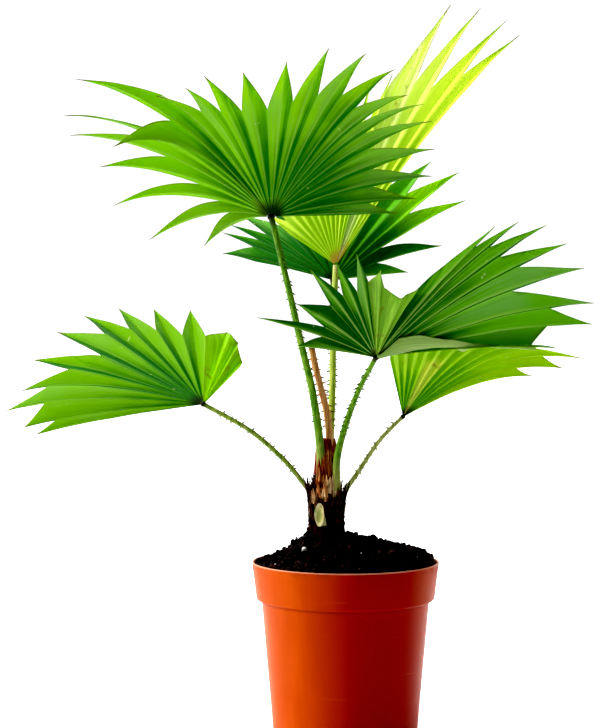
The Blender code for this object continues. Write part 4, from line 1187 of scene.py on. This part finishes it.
def kept_faces(piece, wanted, name):
    """A copy of a piece with only the faces that are wanted by their middle and direction."""
    work = bmesh.new()
    work.from_mesh(piece.data)
    hidden = [f for f in work.faces if not wanted(f.calc_center_median() / MM, f.normal)]
    bmesh.ops.delete(work, geom=hidden, context="FACES")
    return mesh_from(work, name)


def heap_top(margin):
    """Only the heap's open top, as far from the wall as the margin, for crumbs to lie on."""
    return kept_faces(heap, lambda middle, normal: (
        middle.z >= SOIL_RIM_Z - RIM_DEPTH and abs(normal.z) >= TOP_TILT
        and middle.xy.length <= RIM_R - WALL - margin), "heap top")


def scattered(name, ground, density, small, large, flat, rough, material, seed):
    """Crumbs on a ground: how many to the square metre, and sizes in millimetres."""
    dressed(grown(name, ground, scatter, {
        "Density": float(density), "Smallest": small * MM, "Largest": large * MM,
        "Flatness": flat, "Roughness": rough * MM, "Seed": seed, "Material": material}, 40),
        "potting_mix")


bark_mix = mix_material("bark chips", (0.024, 0.010, 0.010), (0.11, 0.050, 0.047),
                        (0.24, 0.16, 0.14), 0.85)
perlite = mix_material("perlite", (0.55, 0.53, 0.50), (0.80, 0.78, 0.76), (0.6, 0.58, 0.55), 0.9)
scattered("soil_crumbs", heap_top(1.8), 95000, 0.5, 2.6, 0.8, 0.9, damp_mix, 3)
scattered("soil_clods", heap_top(3.5), 3000, 1.6, 4.4, 0.8, 2.0, damp_mix, 27)
scattered("soil_bark", heap_top(3.0), 14000, 0.6, 2.8, 0.45, 0.9, bark_mix, 8)
scattered("soil_perlite", heap_top(2.0), 1100, 0.35, 1.4, 0.8, 0.4, perlite, 14)

ball = bmesh.new()
lumpy_ball(ball, heap.closest_point_on_mesh(Vector(WHITE_GRAIN) * MM)[1], WHITE_GRAIN_R,
           WHITE_GRAIN_ROUGH, 7.0, tilt=-1)
white_grain = shaped("soil_white_grain", mesh_from(ball, "white grain"), perlite, 60)
dressed(white_grain, "potting_mix")

# %% [markdown]
# ## Trunk and sheath fibre
# A young palm's trunk is wrapped in the fibre of old leaf sheaths: a dark, matted net with torn
# scraps standing up from it. The top of the trunk is a red-brown papery sheath. Both materials use
# noise stretched upwards, because the fibres run that way, and the bump follows the same noise.

# %% Fibre material
def fibre_skin(name, dark, middle, light, roughness=0.85):
    n = new_material(name)
    place = n.place()
    strands = n.noise(place, (800.0, 800.0, 75.0), 4.0)
    blotch = n.noise(place, 120.0, 4.0)
    pale = n.times(n.ramp(blotch, 0.52, 0.70), n.ramp(strands, 0.40, 0.62))
    pale = n.math("ADD", pale, n.times(n.read("tone"), 0.75), clamp=True)
    skin = n.coats(dark, (n.ramp(strands, 0.35, 0.65), middle), (pale, light))
    rough = n.ramp(strands, 0.3, 0.7, roughness, roughness - 0.12, "LINEAR")
    return end_material(n, skin, rough, n.total((strands, 1.0), (blotch, 0.6)), 0.9, 0.9, 0.08)


# %% [markdown]
# ## The trunk
# Under the fibre the trunk is a column, a little wider in the middle, with deep upright ribs that
# wander. It is made of rings again, whose radius follows a short profile and three sine waves.

# %% Trunk core
TRUNK_PROFILE = ((104.3, 11.5), (118, 12.6), (134, 13.6), (148, 13.6), (158, 13.0), (168, 12.8),
                 (177, 12.4), (184, 11.4), (190, 10.0), (195, 8.8))
TRUNK_RIPPLES = ((7, 0.035, 0.05), (13, 0.030, -0.08), (29, 0.020, 0.11))
TRUNK_SIDES, TRUNK_ROWS = 120, 110


def column(name, profile, sides, rows, ripples):
    """A closed upright body round the trunk's axis, with ribs that wander up it."""
    heights, radii = zip(*profile)
    rings = []
    for row in range(rows + 1):
        z = heights[0] + (heights[-1] - heights[0]) * row / rows
        radius = float(np.interp(z, heights, radii))
        ring = []
        for k in range(sides):
            a = math.tau * k / sides
            r = radius * (1 + sum(depth * math.sin(count * a + drift * z + count)
                                  for count, depth, drift in ripples))
            ring.append((TRUNK_X + r * math.cos(a), TRUNK_Y + r * math.sin(a), z))
        rings.append(ring)
    mesh = capped_rings(name, (TRUNK_X, TRUNK_Y, heights[0]), rings,
                        (TRUNK_X, TRUNK_Y, heights[-1]))
    mesh.attributes.new("tone", "FLOAT", "POINT")
    return mesh


dark_fibre = fibre_skin("dark palm fibre", (0.004, 0.002, 0.002), (0.030, 0.010, 0.009),
                        (0.20, 0.09, 0.05))
core = column("trunk core", TRUNK_PROFILE, TRUNK_SIDES, TRUNK_ROWS, TRUNK_RIPPLES)
trunk = shaped("trunk_core", core, dark_fibre, 70)
dressed(trunk, "palm_fibre", "trunk")

# %% [markdown]
# ## Loose fibres
# Torn fibres stand up from the trunk all round, which gives it a hairy outline. They are thin bent
# cones that a tree puts on random points of the trunk's side. Each stands along the surface and
# leans out a little, and a share of them is pale. Real faces are used in place of Blender's hair,
# so that the exported model keeps them.

# %% Geometry Nodes tree for loose fibres
HAIR_SIDES, HAIR_CURL, HAIR_SWAY = 4, 2.2, 0.45
HAIR_WIDTHS, HAIR_LENGTHS = (0.5, 1.3), (0.4, 1.2)

strands = geometry_tree("loose fibres", {
    "Geometry": "Geometry", "Float": "Density, Length, Width, Lean, Pale share", "Int": "Seed",
    "Material": "Material"})
spots = sown(strands)
outward = spots.node.outputs["Normal"]
sway = strands.combine(chance(strands, -HAIR_SWAY, HAIR_SWAY, 1.0),
                       chance(strands, -HAIR_SWAY, HAIR_SWAY, 2.0), 1.0)
upward = strands.vector("ADD", sway, strands.scaled(outward, strands["Lean"]))
thin = strands.times(strands["Width"], chance(strands, *HAIR_WIDTHS, 3.0))
scale = strands.combine(strands.times(thin, 0.5), thin,
                        strands.times(strands["Length"], chance(strands, *HAIR_LENGTHS, 4.0)))
hairs = copied(strands, spots, bent_cone(strands, HAIR_SIDES, 0.05, HAIR_CURL),
               Rotation=turned(strands, upward, outward), Scale=scale)
pale = strands.math("LESS_THAN", chance(strands, step=6.0), strands["Pale share"])
end_tree(strands, store(strands, hairs, domain="INSTANCE", tone=pale))


# %% Loose fibres on the trunk
SIDE_TILT = 0.7


def band(low, high):
    """The trunk's side faces between two heights in millimetres."""
    return kept_faces(trunk, lambda middle, normal: (
        low < middle.z < high and abs(normal.z) <= SIDE_TILT), "band")


scattered("trunk_crumbs", band(146, 166), 22000, 0.4, 2.0, 0.8, 1.0, damp_mix, 51)
for name, low, high, density, long, wide, lean, pale_share, seed in (
        ("fibres_low", 140, 176, 130000, 6.0, 0.8, 0.15, 0.05, 5),
        ("fibres_top", 168, 194, 160000, 9.0, 0.9, 0.10, 0.35, 9)):
    piece = grown(name, band(low, high), strands, {
        "Density": float(density), "Length": long * MM, "Width": wide * MM, "Lean": lean,
        "Pale share": pale_share, "Seed": seed, "Material": dark_fibre}, 60)
    dressed(piece, "palm_fibre")

# %% [markdown]
# ## Torn scraps
# Each scrap is the ragged end of an old leaf base, tan on the side that the light reaches. It is
# a broad strip that hugs the trunk at its foot, leans away and ends in uneven points. It is built
# as a small grid bent round the trunk, whose columns are cut to random heights, and a Solidify
# modifier gives it thickness. Each row below is one scrap: its turn in degrees, the height of its
# foot, its width, length and lean outwards in millimetres, and how pale it is.

# %% Torn scraps
SCRAP_COLUMNS, SCRAP_ROWS, SCRAP_THICK = 9, 8, 0.45
SCRAP_CUT, SCRAP_NARROWS, SCRAP_OUT = (0.35, 1.0), 0.45, 0.2


def torn_scrap(draw, turn, height, wide, long, lean):
    radius = float(np.interp(height, *zip(*TRUNK_PROFILE))) + SCRAP_OUT
    cut_line = [draw.uniform(*SCRAP_CUT) for _ in range(SCRAP_COLUMNS + 1)]
    verts = []
    for c, cut_at in enumerate(cut_line):
        across = c / SCRAP_COLUMNS - 0.5
        for r in range(SCRAP_ROWS + 1):
            t = r / SCRAP_ROWS * cut_at
            a = math.radians(turn) + across * wide * (1 - SCRAP_NARROWS * t) / radius
            out = radius + lean * t ** 1.6 + 0.5 * math.sin(9 * across + 3 * t)
            verts.append((TRUNK_X + out * math.cos(a), TRUNK_Y + out * math.sin(a),
                          height + long * t))
    up = SCRAP_ROWS + 1
    faces = [(a, a + up, a + up + 1, a + 1) for c in range(SCRAP_COLUMNS)
             for a in range(c * up, c * up + SCRAP_ROWS)]
    return verts, faces


def scraps_piece(name, material, rows, seed):
    draw = random.Random(seed)
    verts, faces, tones = [], [], []
    for *shape, tone in rows:
        some, made = torn_scrap(draw, *shape)
        faces += [tuple(i + len(verts) for i in face) for face in made]
        verts += some
        tones += [tone] * len(some)
    mesh = carry(mesh_of(name, verts, faces), tone=tones)
    dressed(shaped(name, mesh, material, 50, SCRAP_THICK * MM, 0.0), "palm_fibre")


scraps_piece("torn_scraps", dark_fibre, (
    (312, 170, 6, 21, 3.5, 0.0), (350, 166, 6, 24, 5.0, 0.0), (20, 160, 7, 18, 4.0, 0.0),
    (205, 164, 7, 21, 3.0, 0.1), (183, 170, 5, 24, 4.0, 0.0), (95, 168, 8, 22, 4.0, 0.1),
    (60, 174, 7, 18, 3.0, 0.0), (340, 172, 4, 22, 4.5, 0.0), (198, 176, 4, 18, 3.0, 0.0)), 21)
tan_scrap = fibre_skin("dry scrap tan", (0.30, 0.07, 0.02), (0.66, 0.30, 0.09),
                       (0.86, 0.66, 0.36), 0.8)
scraps_piece("tan_scraps", tan_scrap, (
    (266, 176, 5, 15, 1.0, 0.1), (245, 179, 6, 12, 1.2, 0.0), (284, 182, 6, 13, 1.2, 0.8),
    (276, 186, 7, 11, 0.8, 0.4), (304, 179, 5, 19, 2.0, 1.0), (206, 164, 4, 20, 1.4, 1.0),
    (256, 188, 6, 10, 0.4, 0.0), (296, 185, 5, 13, 0.8, 0.7), (222, 174, 5, 12, 1.6, 0.5),
    (130, 172, 7, 18, 3.0, 0.3), (160, 176, 6, 14, 2.0, 0.2)), 33)

# %% [markdown]
# ## The sheath
# The feet of the upright stalks are wrapped together in a thin, papery, red-brown sheath. It is a
# column like the trunk's core, but narrower and with wider ribs, and four long scraps of the same
# fibre stand round it.

# %% Sheath
SHEATH_PROFILE = ((195.3, 8.3), (203, 8.6), (211, 8.0), (218, 7.0), (222, 6.4))
SHEATH_RIPPLES = ((5, 0.06, 0.10), (11, 0.035, -0.22), (23, 0.02, 0.3))
SHEATH_SIDES, SHEATH_ROWS = 96, 60

red_fibre = fibre_skin("sheath fibre", (0.06, 0.005, 0.003), (0.34, 0.060, 0.018),
                       (0.66, 0.32, 0.10), 0.75)
scraps_piece("sheath_scraps", red_fibre, (
    (253, 190, 9, 29, -0.8, 0.0), (240, 188, 6, 23, -0.5, 0.0), (266, 190, 8, 26, -1.0, 0.1),
    (281, 190, 7, 20, -1.0, 0.3)), 47)
wrap = column("sheath", SHEATH_PROFILE, SHEATH_SIDES, SHEATH_ROWS, SHEATH_RIPPLES)
dressed(shaped("sheath_wrap", wrap, red_fibre, 70), "sheath_fibre", "leaf_sheath")

# %% [markdown]
# ## The cut stub
# One stalk was cut off close to the trunk with a slanting cut. Its skin is cream and the fresh
# core in the cut is green. The stub is a short oval tube, closed by rings that sink into a hollow.
# `core` marks the points that lie in the cut.

# %% Cut stub
STUB_ROUTE = ((-17.0, -7.5, 156), (-18.0, -13.0, 160), (-19.6, -15.4, 166.5))
STUB_R, STUB_FLAT, STUB_SLANT = 3.6, 0.8, 8.4
STUB_ROWS, STUB_SIDES = 14, 28
STUB_CUT = ((0.86, 0.1, 0.0), (0.62, 0.8, 0.3), (0.45, 1.6, 1.0), (0.0, 2.4, 1.0))


def cut_stub():
    line = [(route_place(STUB_ROUTE, k / STUB_ROWS), 1.0, 0.0) for k in range(STUB_ROWS + 1)]
    line += [(line[-1][0] - Vector((0, 0, drop)), share, core) for share, drop, core in STUB_CUT]
    verts, inside = [], []
    for k, (here, share, core) in enumerate(line):
        rising = min(1.0, k / STUB_ROWS)
        for m in range(STUB_SIDES):
            a = math.tau * m / STUB_SIDES
            bumpy = 1 + 0.05 * math.sin(3 * a + 0.8 * k)
            verts.append(here + Vector((STUB_R * share * bumpy * math.cos(a),
                                        STUB_R * STUB_FLAT * share * math.sin(a),
                                        STUB_SLANT * math.sin(a) * share * rising ** 3)))
            inside.append(core)
    faces = [tuple(range(STUB_SIDES))[::-1]]
    for low in range(0, len(verts) - STUB_SIDES, STUB_SIDES):
        for m in range(STUB_SIDES):
            n = (m + 1) % STUB_SIDES
            faces.append((low + m, low + n, low + STUB_SIDES + n, low + STUB_SIDES + m))
    work = bmesh.new()
    work.from_mesh(carry(mesh_of("stub rings", verts, faces), core=inside))
    bmesh.ops.remove_doubles(work, verts=work.verts, dist=1e-6)
    bmesh.ops.recalc_face_normals(work, faces=work.faces)
    return mesh_from(work, "stub")


def stub_skin():
    n = new_material("cut stalk cream")
    place = n.place()
    lines = n.noise(place, (500.0, 500.0, 90.0))
    green = n.ramp(n.noise(place, (160.0, 160.0, 50.0)), 0.54, 0.68)
    skin = n.coats((0.80, 0.66, 0.30), (n.ramp(lines, 0.35, 0.7), (0.95, 0.90, 0.56)),
                   (green, (0.34, 0.46, 0.08)), (n.times(n.read("core"), 0.8), (0.34, 0.40, 0.04)))
    return end_material(n, skin, n.ramp(lines, 0.3, 0.7, 0.5, 0.65, "LINEAR"), lines, 0.5, 0.4)


dressed(shaped("stub_cut", cut_stub(), stub_skin(), 45), "cut_stalk", "cut_stub")

# %% [markdown]
# ## Light, floor and background
# The photo is a high-key studio picture: white all round, a strong soft light from the upper left,
# and enough light from behind to make the leaves glow. The world gives a pale surround that is
# brighter behind and to the left, and area lights do the rest. The Standard view keeps the greens
# and the orange as bright as they are in the photo, and a small black level deepens the shadows.

# %% World and lights
WHITE = (1.0, 1.0, 1.0)
BLACK_LEVEL = 0.012
BRIGHT_SIDE = (-0.45, 0.80, 0.40)

scene = bpy.context.scene
view = scene.view_settings
view.view_transform = "Standard"
view.look = "Medium High Contrast"
view.use_curve_mapping = True
view.curve_mapping.black_level = (BLACK_LEVEL, BLACK_LEVEL, BLACK_LEVEL)
view.curve_mapping.update()
scene.world = bpy.data.worlds.new("studio")
scene.world.use_nodes = True
sky = Nodes(scene.world.node_tree)
from_back = sky.vector("DOT_PRODUCT", sky.add("ShaderNodeTexCoord", out="Generated"), BRIGHT_SIDE)
lit = sky.add("ShaderNodeBackground", {
    "Color": WHITE, "Strength": sky.ramp(from_back, 0.0, 0.9, 0.04, 1.7)})
seen = sky.add("ShaderNodeBackground", {"Color": WHITE, "Strength": 1.0})
is_seen = sky.add("ShaderNodeLightPath", out="Is Camera Ray")
sky.add("ShaderNodeOutputWorld", {"Surface": sky.add("ShaderNodeMixShader", (is_seen, lit, seen))})


def area_light(name, place, target, size, watts, tint=WHITE):
    lamp = linked_object(name, bpy.data.lights.new(name, "AREA"))
    lamp.data.shape, lamp.data.size = "DISK", size
    lamp.data.energy, lamp.data.color = watts, tint
    lamp.location = place
    lamp.rotation_euler = (Vector(target) - Vector(place)).to_track_quat("-Z", "Y").to_euler()


area_light("key", (-2.0, -0.42, 0.9), (0, 0, 0.2), 0.5, 24.0, (1.0, 0.98, 0.94))
area_light("top", (-0.7, 0.3, 1.8), (0, 0, 0.35), 0.8, 26.0)
area_light("right rim", (1.6, 0.9, 0.5), (0, 0, 0.15), 0.5, 2.0, (1.0, 0.78, 0.50))

# %% [markdown]
# ## The floor
# The pot stands on white paper. Behind the pot the paper glows a little, painted light that stands
# in for a lit studio background, so that floor and background meet without a line.

# %% Floor
FLOOR_HALF = 9000

n = new_material("white paper floor")
paper_white = n.coats((0.80, 0.80, 0.80), (n.noise(n.place(), 40.0, 2.0), (0.84, 0.84, 0.84)))
# Painted light: the paper glows behind the pot.
shine = n.ramp(n.axis(n.place(), "Y"), -0.15, 0.12)
n.add("ShaderNodeOutputMaterial", {"Surface": n.add("ShaderNodeBsdfPrincipled", {
    "Base Color": paper_white, "Roughness": 0.9, "Emission Color": WHITE,
    "Emission Strength": shine})})
corners = [(x * FLOOR_HALF, y * FLOOR_HALF, 0) for x, y in ((-1, -1), (1, -1), (1, 1), (-1, 1))]
floor = linked_object("floor", mesh_of("floor", corners, [(0, 1, 2, 3)]))
floor.data.materials.append(n.material)
